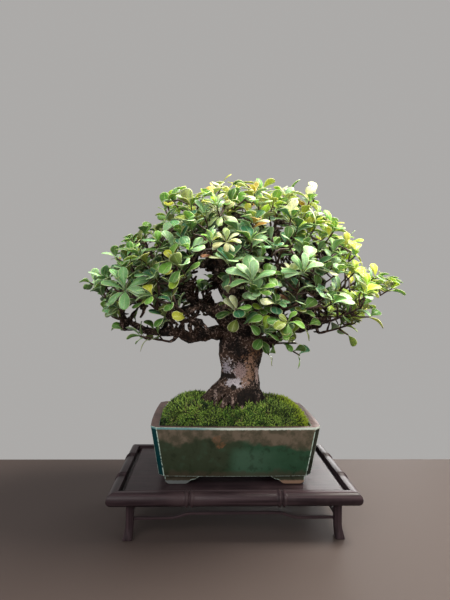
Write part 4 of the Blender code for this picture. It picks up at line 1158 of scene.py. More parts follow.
LIMBS = {
    "lower_left": ([(6, -4, 190), (-12, -5, 193), (-31, -8, 190), (-48, -12, 187), (-60, -14, 193), (-79, -10, 192),
                    (-95, -4, 193), (-110, 2, 200), (-125, 4, 208)], 8.0, 2.4),
    "second_left": ([(8, 4, 200), (-8, 6, 209), (-24, 10, 215), (-37, 18, 223), (-51, 26, 233), (-65, 32, 243),
                     (-81, 36, 259)], 7.5, 2.4),
    "leader_left": ([(6, -4, 204), (-6, -8, 227), (-15, -10, 244), (-18, -14, 263), (-13, -16, 291)], 7.0, 2.2),
    "leader_right": ([(12, 4, 203), (25, 8, 232), (32, 10, 259), (45, 12, 286)], 7.0, 2.2),
    "right_low": ([(16, 0, 176), (38, -4, 183), (54, -8, 196), (71, -10, 199), (92, -8, 203), (103, -4, 216),
                   (115, 0, 232), (136, 4, 240)], 8.0, 1.9),
    "right_mid": ([(14, 6, 196), (30, 12, 208), (47, 16, 221), (73, 26, 238), (96, 34, 257), (109, 38, 276)],
                  6.5, 2.0),
    "front_left": ([(4, -8, 196), (-9, -21, 203), (-21, -35, 217), (-41, -43, 221), (-52, -53, 235), (-71, -60, 243)],
                   6.0, 2.0),
    "front_right": ([(14, -8, 198), (29, -21, 202), (38, -35, 216), (55, -43, 222), (66, -52, 237), (87, -58, 247)],
                    6.0, 2.0),
    "front_up": ([(9, -6, 206), (15, -19, 223), (5, -30, 240), (13, -38, 257), (7, -49, 272)], 5.5, 2.0),
    "back_left": ([(4, 6, 196), (-13, 21, 204), (-21, 37, 219), (-43, 45, 228), (-52, 59, 242), (-73, 64, 252)],
                  6.5, 2.0),
    "back_right": ([(14, 6, 196), (28, 22, 206), (43, 33, 215), (55, 47, 230), (75, 53, 238), (92, 61, 252)],
                   6.5, 2.0),
    "back_up": ([(9, 6, 208), (1, 22, 223), (11, 36, 240), (2, 47, 255), (7, 57, 271)], 5.5, 2.0),
}
OUTLINE_TIPS = [(-167, 0, 250), (-136, -10, 279), (-110, 8, 301), (-82, -6, 336), (-50, 6, 345), (-26, -14, 356),
                (20, 6, 357), (52, -10, 351), (88, 4, 352), (107, -8, 319), (134, 10, 298), (152, -4, 262),
                (182, 0, 255), (158, 12, 232), (136, -12, 206), (-138, 10, 208), (-112, -16, 190), (76, -30, 184),
                (34, -72, 193)]
# Rings of tips: height, half width, half depth, angles in degrees
FILL_RINGS = [(232.0, 152.0, 108.0, (-142, -118, -92, -66, -40, 40, 66, 92, 118, 142)),
              (296.0, 118.0, 84.0, (-150, -108, -72, -32, 34, 72, 108, 146)),
              (342.0, 52.0, 42.0, (-110, -40, 70))]
# Leaves on a twig and on a side shoot: share of its length, turn round it and lean off it in degrees
TWIG_LEAVES = [(0.34, 0, 66), (0.50, 150, 62), (0.66, 270, 60), (0.84, 30, 62), (0.92, 126, 56), (0.78, 212, 60),
               (0.88, 300, 60), (0.97, 90, 24)]
SHOOT_LEAVES = [(0.62, 60, 62), (0.90, 180, 58), (0.94, 300, 56), (0.97, 40, 22)]
# Side shoots on a twig: share of its length, turn round it in degrees
SHOOT_PLACES = [(0.22, 70), (0.60, 250)]
print("limbs:", len(LIMBS), " outline tips:", len(OUTLINE_TIPS))

# %% [markdown]
# ### Branches
#
# A spray's branch leaves the nearest limb along the limb's own way and then turns into the spray's direction.
# A cubic curve does this: its first handle lies along the limb and its second along the spray.

# %% Branch rules
def taper(count, start, end):
    """Radii from thick to thin, falling faster at first."""
    return [start + (end - start) * (i / (count - 1)) ** 0.8 for i in range(count)]


def jitter(rng, low=-1.0, high=1.0):
    """A random step, level within one unit each way and upright between two bounds."""
    return Vector((rng.uniform(-1, 1), rng.uniform(-1, 1), rng.uniform(low, high)))


def side_jitter(rng, up):
    """A random level step within one unit each way, and a given step up."""
    return Vector((rng.uniform(-1, 1), rng.uniform(-1, 1), up))


def spray_tips(rng):
    """Where the sprays end: the tips of the outline, then the rings that fill the crown."""
    tips = [Vector(p) * MM for p in OUTLINE_TIPS]
    for up, half_x, half_y, angles in FILL_RINGS:
        for angle in angles:
            turn = math.radians(angle + rng.uniform(-4.0, 4.0))
            swell = rng.uniform(0.95, 1.04)
            tips.append(Vector((9.0 + half_x * swell * math.cos(turn), half_y * swell * math.sin(turn),
                                up + rng.uniform(-7.0, 7.0))) * MM)
    return tips


def fork(limbs, end):
    """Where a branch to a point best leaves the limbs."""
    reach = (end - HEART).length
    best = None
    for number, (line, radii) in enumerate(limbs):
        for i in range(len(line) - 1):
            along = (line[i + 1] - line[i]).normalized()
            for step in range(1, 5):
                share = step / 4.0
                point = line[i].lerp(line[i + 1], share)
                away = end - point
                past = max(0.0, (point - HEART).length - 0.92 * reach)
                backwards = max(0.0, 0.35 - along.dot(away.normalized()))
                cost = away.length * (1.0 + backwards) + 3.0 * past + 0.12 * (point - HEART).length
                if best is None or cost < best[0]:
                    best = (cost, (number, i, share, point, along, radii[i + 1]))
    return best[1]


def cubic(start, first, second, end, count):
    """Points along a curve that leaves start towards first and comes to end from second."""
    points = []
    for i in range(count + 1):
        t = i / count
        s = 1.0 - t
        points.append(start * s ** 3 + first * 3.0 * t * s * s + second * 3.0 * t * t * s + end * t ** 3)
    return points


def branch_to(limbs, end, direction):
    """A branch's route and radii, and its fork: the limb's number and the place along it."""
    number, segment, share, start, along, radius = fork(limbs, end)
    pull = 0.36 * (end - start).length
    leave = (along + 0.6 * (end - start).normalized()).normalized()
    route = cubic(start, start + leave * pull, end - direction * pull, end, 3)
    root = min(2.5 * MM, max(1.65 * MM, radius))
    return route, taper(len(route), root, 1.5 * MM), (number, segment + share)


def end_at_last_fork(limbs, forks):
    """Limbs cut off where their last branch leaves."""
    trimmed = []
    for number, (line, radii) in enumerate(limbs):
        last = max([place for owner, place in forks if owner == number], default=len(line) - 1.0)
        whole = min(int(last), len(line) - 2)
        share = last - whole
        points = line[:whole + 1] + [line[whole].lerp(line[whole + 1], share)]
        widths = radii[:whole + 1] + [radii[whole] + (radii[whole + 1] - radii[whole]) * share]
        if share < 0.1 and whole > 0:
            points.pop()
            widths.pop()
        trimmed.append((points, widths))
    return trimmed


print("first tip:", [round(v, 4) for v in spray_tips(random.Random(CROWN_SEED))[0]])

# %% [markdown]
# ### Room between the pieces
#
# Leaves in a real crown hardly ever pass through one another. Wood is measured here as strings of balls and a
# leaf as a thin box. Two boxes stand clear where a plane fits between them, which is tested along the axes of
# both and along their cross products.

# %% Clearance rules
# Least gaps between new wood and old wood or twigs, between twigs, between shoots and between leaves
WOOD_GAP = 0.4 * MM
TWIG_GAP = 0.8 * MM
SHOOT_GAP = 0.6 * MM
LEAF_WOOD_GAP = 0.35 * MM
LEAF_GAP = 0.3 * MM


def beads(line, radii, spacing=1.5 * MM):
    """A tapered route as a string of balls: centre and radius."""
    rows = []
    for a, b, ra, rb in zip(line, line[1:], radii, radii[1:]):
        count = max(1, math.ceil((b - a).length / spacing))
        for i in range(count + 1):
            t = i / count
            p = a.lerp(b, t)
            rows.append((p.x, p.y, p.z, ra + (rb - ra) * t))
    return rows


def plates_apart(a, b, gap):
    """True where a plane fits between two boxes, each a centre, its axes and its half sizes."""
    centre_a, axes_a, half_a = a
    centre_b, axes_b, half_b = b
    between = centre_b - centre_a
    for axis in [*axes_a, *axes_b, *(np.cross(u, v) for u in axes_a for v in axes_b)]:
        size = math.sqrt(float(axis @ axis))
        if size < 1e-6:
            continue
        reach = float(np.abs(axes_a @ axis) @ half_a + np.abs(axes_b @ axis) @ half_b) / size
        if abs(float(between @ axis)) / size > reach + gap:
            return True
    return False


def clear_of_beads(plate, rows, gap):
    centre, axes, half = plate
    local = np.abs((rows[:, :3] - centre) @ axes.T) - half
    distance = np.sqrt((np.maximum(local, 0.0) ** 2).sum(axis=1))
    return bool((distance > rows[:, 3] + gap).all())


def balls_apart(rows, others, gap):
    if len(others) == 0:
        return True
    a = np.array(rows)
    b = np.array(others)
    distance = np.linalg.norm(a[:, None, :3] - b[None, :, :3], axis=2)
    return bool((distance > a[:, None, 3] + b[None, :, 3] + gap).all())


def trunk_beads():
    """Three balls side by side at every section of the trunk."""
    return [((x + shift * half_x) * MM, TRUNK_Y, up * MM, max(half_x * 0.75, half_y) * MM)
            for up, x, half_x, half_y in TRUNK_SECTIONS for shift in (-0.3, 0.0, 0.3)]


print("balls in the trunk:", len(trunk_beads()))

# %% [markdown]
# ### Twigs and leaves
#
# A twig is nearly straight and bears two side shoots that bend up. A leaf is rooted in the side of its twig or
# shoot, leans off it and turns its face to the light. Shoots and leaves are tried at a few angles until they
# stand clear of everything that grew before them.

# %% Leaf rules
# Lengths and widths of the solids' leaves, as shares of LEAF_LENGTH and LEAF_WIDTH
LEAF_LENGTHS = (0.82, 1.06)
LEAF_WIDTHS = (0.85, 1.08)
LEAF_TRIALS = 20


def along_line(points, share):
    """The point at a share of a line of three points."""
    if share < 0.5:
        return points[0].lerp(points[1], share * 2.0)
    return points[1].lerp(points[2], share * 2.0 - 1.0)


def twig_line(base, direction, rng):
    bend = jitter(rng, 0.0, 1.0) * 1.6 * MM
    points = [base + direction * TWIG_LENGTH * t + bend * math.sin(math.pi * t) for t in (0.0, 0.5, 1.0)]
    return points, taper(3, TWIG_ROOT, TWIG_TIP)


def spoke_of(direction, around):
    """The way that leads straight off a stick, at a turn round it."""
    side = direction.orthogonal().normalized()
    return math.cos(around) * side + math.sin(around) * direction.cross(side)


def leaf_frame(axis_point, radius, twig_direction, around, lean, rng):
    """A leaf's foot, the way that it points and the way that it faces."""
    spoke = spoke_of(twig_direction, around)
    root = axis_point + spoke * radius * 0.1
    direction = (math.cos(lean) * twig_direction + math.sin(lean) * spoke + UP * 0.18).normalized()
    face = 0.55 * twig_direction + UP * 0.6 + 0.25 * side_jitter(rng, 0.0)
    face = (face - direction * face.dot(direction)).normalized()
    return root, direction, face


def leaf_plate(frame, length, width):
    """The thin box that a leaf takes up, without its narrow foot."""
    root, direction, face = frame
    centre = root + direction * length * 0.59 + face * LEAF_ARCH * 0.5
    half = np.array([length * 0.42, width * 0.5, (LEAF_ARCH + LEAF_RIB) * 0.5 + 0.1 * MM])
    return np.array(centre), np.array([direction, direction.cross(face), face]), half


def grow_leaf(rng, axis_point, radius, direction, around, lean, is_clear, sizes=None):
    """A leaf that stands clear, or None. The solids' leaves share one size; the others vary within sizes."""
    for trial in range(LEAF_TRIALS):
        turned = math.radians(around + rng.uniform(-30.0, 30.0))
        leaning = math.radians(lean + rng.uniform(-9.0, 9.0))
        if sizes:
            length = rng.uniform(sizes[0], sizes[1])
            width = length * rng.uniform(sizes[2], sizes[3])
        else:
            length = LEAF_LENGTH * rng.uniform(*LEAF_LENGTHS)
            width = LEAF_WIDTH * rng.uniform(*LEAF_WIDTHS)
        frame = leaf_frame(axis_point, radius, direction, turned, leaning, rng)
        plate = leaf_plate(frame, length, width)
        if (sizes is None or leaf_shows_well(frame, length)) and is_clear(plate):
            return (frame, length, width), plate
    return None


# %% Growing the wood
def grow_wood(rng):
    """Limbs, branches, twigs that have no shoots yet, and all wood as balls. Each twig is tried until it is clear."""
    limbs = []
    for points, start, end in LIMBS.values():
        line = [Vector(p) * MM for p in points]
        limbs.append((line, taper(len(line), start * MM, end * MM)))
    wood = trunk_beads()
    for line, radii in limbs:
        wood += beads(line, radii)
    twig_rows, branches, forks, sprays = [], [], [], []
    for tip in spray_tips(rng):
        aim = ((tip - HEART).normalized() + UP * 0.30).normalized()
        for trial in range(16):
            direction = (aim + jitter(rng) * 0.05 * trial).normalized()
            base = tip - direction * SPRAY_REACH
            line, radii, place = branch_to(limbs, base, direction)
            twig = twig_line(base + direction * TOUCH_GAP, direction, rng)
            new_wood = beads(line, radii)
            new_twig = beads(*twig)
            if (balls_apart(new_twig, wood, WOOD_GAP) and balls_apart(new_twig, twig_rows, TWIG_GAP)
                    and balls_apart(new_wood, twig_rows, WOOD_GAP)):
                break
        branches.append((line, radii))
        forks.append(place)
        wood += new_wood
        twig_rows += new_twig
        sprays.append({"twig": twig, "direction": direction, "shoots": [], "leaves": []})
    return end_at_last_fork(limbs, forks), branches, sprays, np.array(wood)


# %% Growing the side shoots
def shoot_line(twig, share, around, direction, rng):
    points, radii = twig
    start = along_line(points, share)
    leave = (0.55 * direction + spoke_of(direction, around) + UP * 0.15).normalized()
    end = start + (leave + 0.25 * side_jitter(rng, 0.8)).normalized() * SHOOT_LENGTH
    middle = start + leave * 0.5 * SHOOT_LENGTH
    return [start, middle, end], taper(3, SHOOT_ROOT, SHOOT_TIP)


def grow_shoots(rng, sprays, wood):
    rows = {number: beads(*spray["twig"]) for number, spray in enumerate(sprays)}
    for number, spray in enumerate(sprays):
        for share, around in SHOOT_PLACES:
            for trial in range(12):
                turn = math.radians(around + rng.uniform(-15.0, 15.0) * trial)
                shoot = shoot_line(spray["twig"], share, turn, spray["direction"], rng)
                new = beads(*shoot)
                others = [row for owner, kept in rows.items() if owner != number for row in kept]
                if balls_apart(new, wood, WOOD_GAP) and balls_apart(new, others, SHOOT_GAP):
                    spray["shoots"].append(shoot)
                    rows[number] += new
                    break


# %% Growing the leaves that the solids show
def leaf_places(spray, rng):
    """Every leaf's place in a spray: point on the wood, radius there, direction, turn and lean."""
    turn = rng.uniform(0.0, 360.0)
    points, radii = spray["twig"]
    for share, around, lean in TWIG_LEAVES:
        yield along_line(points, share), radii[2], spray["direction"], turn + around, lean
    for points, radii in spray["shoots"]:
        turn = rng.uniform(0.0, 360.0)
        along = (points[2] - points[1]).normalized()
        for share, around, lean in SHOOT_LEAVES:
            yield along_line(points, share), radii[2], along, turn + around, lean


def sticks_of(spray):
    """A spray's twig and side shoots."""
    return [spray["twig"]] + spray["shoots"]


def grow_crown():
    rng = random.Random(CROWN_SEED)
    limbs, branches, sprays, wood = grow_wood(rng)
    grow_shoots(rng, sprays, wood)
    grown = []
    for index, spray in enumerate(sprays):
        near = [row for other in sprays if other is not spray for stick in sticks_of(other) for row in beads(*stick)]
        obstacles = np.concatenate([wood, np.array(near)])

        def is_clear(plate):
            if not clear_of_beads(plate, obstacles, LEAF_WOOD_GAP):
                return False
            rivals = [(owner, other) for owner, other in grown
                      if np.abs(other[0] - plate[0]).max() < 2.0 * LEAF_LENGTH]
            return all(plates_apart(plate, other, 0.0 if owner == index else LEAF_GAP) for owner, other in rivals)

        for place in leaf_places(spray, rng):
            leaf = grow_leaf(rng, *place, is_clear)
            if leaf:
                spray["leaves"].append(leaf[0])
                grown.append((index, leaf[1]))
    return limbs, branches, sprays, [plate for owner, plate in grown]


limbs, branches, sprays, leaf_plates = grow_crown()
print("sprays:", len(sprays), " shoots:", sum(len(spray["shoots"]) for spray in sprays),
      " leaves:", sum(len(spray["leaves"]) for spray in sprays))
low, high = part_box("spray_01")
(root, direction, face), length, width = sprays[0]["leaves"][0]
tip_at = root + direction * length + STAND_CENTRE
print("first leaf's tip inside its solid's box:", all(low[i] - MM < tip_at[i] < high[i] + MM for i in range(3)))

# %% [markdown]
# ## More rosettes than the solids hold
#
# The solids stop at about ten leaves a spray. The real crown is far denser: short shoots fill the space between
# the sprays, each ending in a rosette of four to six leaves, as barberries grow them. To fill it evenly, sites
# are scattered through the crown with a least distance between them, each is tied to the nearest wood by a
# kinked shoot, and its leaves are grown by the rule above.

# %% The crown's outline as the camera sees it
FILL_SEED = 23
SITE_COUNT = 330
SITE_GAP = 16.0 * MM
CROWN_HALF_DEPTH = 113.0 * MM
CROWN_RIGHT = 178.0 * MM
CROWN_LEFT = 166.0 * MM
CROWN_ABOVE = 152.0 * MM
CROWN_BELOW = 30.0 * MM
MOST_DEEP = 112.0 * MM
SHOOT_START = 1.05 * MM
SHOOT_END = 0.6 * MM
# The frame's middle and the lens in steps of 1/600 of the frame's height
FRAME_MIDDLE = (225.0, 300.0)
LENS_STEPS = LENS_MM / SENSOR_MM * 600.0
# The crown's outline in these steps
CROWN_OUTLINE = [(80, 274), (94, 267), (112, 262), (117, 256), (108, 249), (120, 246), (125, 235), (134, 234),
                 (150, 227), (160, 223), (170, 215), (166, 207), (171, 200), (171, 188), (180, 184), (188, 190),
                 (194, 195), (206, 190), (208, 182), (215, 179), (222, 182), (234, 181), (246, 183), (252, 179),
                 (260, 182), (268, 187), (286, 187), (297, 189), (308, 191), (312, 184), (318, 187), (312, 198),
                 (322, 213), (332, 217), (343, 228), (353, 233), (362, 250), (358, 260), (372, 268), (378, 275),
                 (401, 276), (396, 290), (374, 292), (380, 297), (363, 300), (366, 313), (357, 323), (347, 324),
                 (339, 314), (326, 322), (306, 328), (297, 327), (292, 339), (284, 342), (272, 338), (257, 332),
                 (250, 322), (246, 316), (226, 316), (219, 322), (213, 334), (192, 336), (170, 330), (150, 326),
                 (134, 320), (121, 331), (115, 317), (102, 315), (104, 303), (96, 292), (81, 292)]
# Places where the background shows through between the branches
CROWN_GAPS = [[(178, 292), (184, 289), (192, 295), (200, 301), (196, 305), (186, 301)],
              [(173, 303), (178, 300), (185, 307), (183, 313), (176, 310)],
              [(192, 311), (205, 309), (211, 315), (219, 318), (224, 320), (223, 327), (212, 329), (203, 324)],
              [(147, 313), (160, 314), (163, 319), (158, 325), (148, 323)],
              [(215, 280), (221, 287), (226, 298), (225, 303), (218, 294)],
              [(313, 257), (322, 254), (320, 263), (314, 263)],
              [(322, 273), (333, 272), (334, 291), (324, 288)],
              [(338, 271), (352, 279), (360, 284), (347, 291), (337, 287)],
              [(257, 318), (264, 316), (267, 326), (260, 326)],
              [(284, 312), (291, 311), (293, 320), (286, 321)]]
# Hollows where dark twigs show and leaves are few
CROWN_HOLLOWS = [[(262, 219), (290, 219), (292, 243), (262, 244)], [(187, 252), (229, 248), (228, 312), (186, 300)],
                 [(262, 250), (297, 252), (297, 274), (262, 272)], [(118, 298), (216, 300), (216, 338), (118, 332)],
                 [(290, 296), (330, 296), (325, 326), (294, 328)], [(170, 214), (186, 214), (186, 226), (170, 226)]]


def seen_at(point):
    """Where a point of the tree lies in the frame, in steps of 1/600 of its height."""
    off = point + STAND_CENTRE - CAMERA_PLACE
    right, up, back = camera.matrix_world.to_3x3().col
    depth = -off.dot(back)
    return FRAME_MIDDLE[0] + LENS_STEPS * off.dot(right) / depth, FRAME_MIDDLE[1] - LENS_STEPS * off.dot(up) / depth


def within(spot, polygon):
    """True inside a polygon: a line to the right crosses its border an odd number of times."""
    x, y = spot
    odd = False
    for (ax, ay), (bx, by) in zip(polygon, polygon[1:] + polygon[:1]):
        if (ay > y) != (by > y) and x < ax + (bx - ax) * (y - ay) / (by - ay):
            odd = not odd
    return odd


def in_outline(spot):
    """Inside the crown's outline and in none of its gaps."""
    return within(spot, CROWN_OUTLINE) and not any(within(spot, gap) for gap in CROWN_GAPS)


def in_hollow(spot):
    return any(within(spot, hollow) for hollow in CROWN_HOLLOWS)


def leaf_shows_well(frame, length):
    """A leaf keeps inside the outline, out of the gaps and within the crown's depth."""
    root, direction, face = frame
    if abs((root + direction * length).y) > MOST_DEEP:
        return False
    return all(in_outline(seen_at(root + direction * length * share)) for share in (0.55, 1.0))


def crown_share(point):
    """0 at the heart, 1 on the skin of the round crown."""
    off = point - HEART
    half_x = CROWN_RIGHT if off.x > 0.0 else CROWN_LEFT
    half_z = CROWN_ABOVE if off.z > 0.0 else CROWN_BELOW
    return math.sqrt((off.x / half_x) ** 2 + (off.y / CROWN_HALF_DEPTH) ** 2 + (off.z / half_z) ** 2)


print("a spray tip is seen at", [round(v) for v in seen_at(Vector(OUTLINE_TIPS[0]) * MM)])

# %% Scattering the sites
# The box that the sites are drawn in, in mm, their shares of the crown, and the longest way to the wood
SITE_BOX = ((-175.0, 190.0), (-100.0, 100.0), (178.0, 352.0))
SITE_SHARES = (0.52, 0.98)
SITE_TRIALS = 40000
LEFT_OUT_OF_HOLLOWS = 0.93
LONGEST_SHOOT = 52.0 * MM
BARE_HEART = 34.0 * MM


def owner_rows():
    """Points along all wood that shoots may leave, with the radius there and the spray that they belong to."""
    rows = []
    for number, (spray, branch) in enumerate(zip(sprays, branches)):
        rows += [(*row, number) for row in beads(*branch, 3.0 * MM)[2:]]
        rows += [(*row, number) for stick in sticks_of(spray) for row in beads(*stick, 3.0 * MM)]
    for limb in limbs:
        rows += [(*row, -1) for row in beads(*limb, 4.0 * MM) if (Vector(row[:3]) - HEART).length > BARE_HEART]
    return np.array(rows)


def distances(rows, place):
    """How far the points of some rows lie from a place."""
    return np.sqrt(((rows[:, :3] - place) ** 2).sum(axis=1))


def scatter_sites(rng, tied):
    """Sites for rosettes, dense towards the skin of the crown, each with its foot on the wood."""
    taken = [np.array(spray["twig"][0][i]) for i in (2, 1) for spray in sprays]
    taken += [np.array(line[2]) for spray in sprays for line, radii in spray["shoots"]]
    inner = distances(tied, np.array(HEART))
    sites = []
    for trial in range(SITE_TRIALS):
        if len(sites) == SITE_COUNT:
            break
        point = Vector([rng.uniform(low, high) for low, high in SITE_BOX]) * MM
        share = crown_share(point)
        spot = seen_at(point)
        if not SITE_SHARES[0] <= share <= SITE_SHARES[1] or rng.random() > 0.25 + share ** 2:
            continue
        if not in_outline(spot) or (rng.random() < LEFT_OUT_OF_HOLLOWS and in_hollow(spot)):
            continue
        here = np.array(point)
        if (((np.array(taken) - here) ** 2).sum(axis=1) < SITE_GAP ** 2).any():
            continue
        distance = distances(tied, here)
        best = int(np.argmin(distance + 0.35 * inner))
        if distance[best] > LONGEST_SHOOT:
            continue
        taken.append(here)
        sites.append((point, Vector(tied[best, :3]), int(tied[best, 4])))
    return sites


fill_rng = random.Random(FILL_SEED)
tied_rows = owner_rows()
sites = scatter_sites(fill_rng, tied_rows)
print("rosette sites:", len(sites))

# %% Shoots and their leaves
# Least and most length, then least and most width as a share of the length
FILL_LEAF_SIZES = (11.0 * MM, 20.5 * MM, 0.52, 0.74)
RIVAL_REACH = 17.0 * MM
SHOWN_OVERLAP = -0.6 * MM
FEWEST_LEAVES = 2


def shoot_route(rng, foot, tip):
    """A short shoot with two kinks, that leaves the wood and turns up to its rosette."""
    outward = ((tip - HEART).normalized() + UP * 0.35).normalized()
    length = (tip - foot).length
    first = foot + (tip - foot) * 0.4 + jitter(rng) * 0.16 * length
    second = tip - outward * 0.36 * length + jitter(rng) * 0.06 * length
    return [foot, first, second, tip], taper(4, SHOOT_START, SHOOT_END), outward


def rosette(rng, points, outward, is_clear):
    """Four to six leaves round a shoot's end, one that closes it, and two lower down, as far as they stand clear."""
    along = (points[-1] - points[-2]).normalized()
    direction = (along + 0.8 * outward + Vector([rng.uniform(-0.35, 0.35) for i in range(3)])).normalized()
    count = rng.randint(4, 6)
    turn = rng.uniform(0.0, 360.0)
    places = [(1.0, turn + 360.0 * i / count, rng.uniform(48.0, 78.0)) for i in range(count)]
    places.append((1.0, turn + 70.0, rng.uniform(5.0, 22.0)))
    places += [(rng.uniform(0.3, 0.7), rng.uniform(0.0, 360.0), rng.uniform(50.0, 75.0)) for i in range(2)]
    grown = []
    for share, around, lean in places:
        axis_point = points[-1] if share == 1.0 else points[-2].lerp(points[-1], share)
        leaf = grow_leaf(rng, axis_point, SHOOT_END, direction, around, lean, is_clear, FILL_LEAF_SIZES)
        if leaf:
            grown.append(leaf)
    return grown


def grow_fill(rng, sites):
    """All shoots: (owner, route, radii, leaves)."""
    plates = list(leaf_plates)
    centres = [plate[0] for plate in plates]
    shoots = []
    for tip, foot, owner in sites:
        points, radii, outward = shoot_route(rng, foot, tip)

        def is_clear(plate):
            near = np.abs(np.array(centres) - plate[0]).max(axis=1) < RIVAL_REACH
            return all(plates_apart(plate, plates[i], SHOWN_OVERLAP) for i in np.nonzero(near)[0])

        leaves = rosette(rng, points, outward, is_clear)
        if len(leaves) >= FEWEST_LEAVES:
            plates += [plate for leaf, plate in leaves]
            centres += [plate[0] for leaf, plate in leaves]
            shoots.append((owner, points, radii, [leaf for leaf, plate in leaves]))
    return shoots


shoots = grow_fill(fill_rng, sites)
leaf_total = sum(len(shoot[3]) for shoot in shoots) + sum(len(spray["leaves"]) for spray in sprays)
print("shoots:", len(shoots), " leaves in all:", leaf_total)

# %% Rosettes that stand out
# Where each is seen in the frame, and the length of its longest leaf in mm
LARGE_ROSETTES = [((251, 283), 25.0), ((300, 275), 21.0), ((221, 217), 22.0), ((226, 244), 14.5), ((127, 291), 25.0)]
LARGE_LEAVES = 9
LARGE_LEANS = (80.0, 62.0)
LARGE_RATIO = (0.36, 0.45)
GROWN_ON = 8.0 * MM


def large_rosette(rng, spot, length):
    """The front shoot nearest to a spot grows on towards it and gets long narrow leaves that face the viewer."""
    def miss(shoot):
        x, y = seen_at(shoot[1][-1])
        return math.hypot(x - spot[0], y - spot[1]) + 0.2 * shoot[1][-1].y / MM

    chosen = min(range(len(shoots)), key=lambda i: miss(shoots[i]))
    owner, points, radii, grown = shoots[chosen]
    x, y = seen_at(points[-1])
    tip = points[-1] + Vector(((spot[0] - x) * 0.9 * MM, -GROWN_ON, (y - spot[1]) * 0.9 * MM))
    facing = Vector((0.0, -1.0, 0.3)).normalized()
    sizes = (0.75 * length * MM, length * MM, *LARGE_RATIO)
    tried = [grow_leaf(rng, tip, SHOOT_END, facing, 360.0 * i / LARGE_LEAVES, LARGE_LEANS[i % 2],
                       lambda plate: True, sizes) for i in range(LARGE_LEAVES)]
    leaves = [leaf[0] for leaf in tried if leaf]
    shoots[chosen] = (owner, points + [tip], list(radii) + [SHOOT_END], leaves)
    return len(leaves)


for spot, length in LARGE_ROSETTES:
    print("large rosette at", spot, "leaves:", large_rosette(fill_rng, spot, length))

# %% [markdown]
# ## Wood
#
# Trunk, roots and limbs of a bonsai are one grown skin with no seams. The trunk is a stack of rings whose lobes
# become the surface roots, the limbs are tapered curves, and a voxel remesh melts them into one skin, which is
# then smoothed and given its bark: long ridges, flakes and knobs, made by moving the points along their normals.

# %% Curves for round wood
def wood_curves(name, routes, resolution):
    """Tapered round sticks along routes, as one mesh. A curve's bevel of 1 mm is scaled by each point's radius."""
    curve = bpy.data.curves.new(name, "CURVE")
    curve.dimensions = "3D"
    curve.bevel_depth = 1.0 * MM
    curve.bevel_resolution = resolution
    curve.use_fill_caps = True
    for line, radii in routes:
        spline = curve.splines.new("POLY")
        spline.points.add(len(line) - 1)
        for point, place, radius in zip(spline.points, line, radii):
            point.co = (*place, 1.0)
            point.radius = radius / MM
    make_active(add_object(name, curve))
    bpy.ops.object.convert(target="MESH")
    return bpy.context.object


def gnarled(rng, line, radii, step, wander, swell):
    """A route cut into short steps that wander a little and swell into knobs."""
    points = []
    widths = []
    for i, (a, b, ra, rb) in enumerate(zip(line, line[1:], radii, radii[1:])):
        count = max(1, round((b - a).length / step))
        for k in range(count):
            if i == 0 and k == 0:
                points.append(a.copy())
                widths.append(ra)
                continue
            t = k / count
            points.append(a.lerp(b, t) + jitter(rng) * wander)
            widths.append((ra + (rb - ra) * t) * (1.0 + swell * rng.random() ** 3))
    points.append(line[-1].copy())
    widths.append(radii[-1])
    return points, widths


print("curve wood ready")

# %% Trunk rings
RING_POINTS = 96
ROOT_LEVEL = 119.0 * MM
FLARE_FADE = 11.0 * MM
ROOT_END = 88.0 * MM
HOLE_TOP = 93.0 * MM
HOLE_GAP = 0.6 * MM
# Levels of the rings in mm: first down in the soil, then evenly up the trunk
RING_LEVELS = [ROOT_END / MM, 94.0, 101.0, 108.0, 113.0] + [117.0 + 1.5 * i for i in range(70)]
# Lobes of the flare: heading in degrees, reach in mm and spread in degrees
ROOT_LOBES = [(182.0, 19.0, 13.0), (207.0, 15.0, 9.0), (236.0, 13.0, 9.0), (262.0, 8.0, 8.0), (292.0, 4.0, 14.0),
              (332.0, 3.0, 14.0), (8.0, 4.0, 14.0), (58.0, 7.0, 12.0), (104.0, 9.0, 13.0), (146.0, 13.0, 12.0)]


def root_reach(angle):
    """How far the strongest lobe stands out at an angle."""
    total = 0.0
    for lobe_degrees, reach, spread in ROOT_LOBES:
        off = (math.degrees(angle) - lobe_degrees + 180.0) % 360.0 - 180.0
        total = max(total, reach * MM * math.exp(-(off / spread) ** 2))
    return total


def trunk_radius(angle, up, half_x, half_y):
    """An ellipse with a soft ripple, and the lobes that fade upwards."""
    fade = math.exp(-max(0.0, up - ROOT_LEVEL) / FLARE_FADE)
    round_radius = half_x * half_y / math.hypot(half_y * math.cos(angle), half_x * math.sin(angle))
    ripple = 0.5 * MM * math.sin(5.0 * angle + 90.0 * up) + 0.35 * MM * math.sin(9.0 * angle - 140.0 * up)
    return round_radius + ripple + fade * root_reach(angle)


def section_at(up):
    """Centre x, half width and half depth of the trunk at a height in mm."""
    for low, high in zip(TRUNK_SECTIONS, TRUNK_SECTIONS[1:]):
        if up <= high[0]:
            t = max(0.0, (up - low[0]) / (high[0] - low[0]))
            return [(low[k] + (high[k] - low[k]) * t) * MM for k in (1, 2, 3)]
    return [value * MM for value in TRUNK_SECTIONS[-1][1:]]


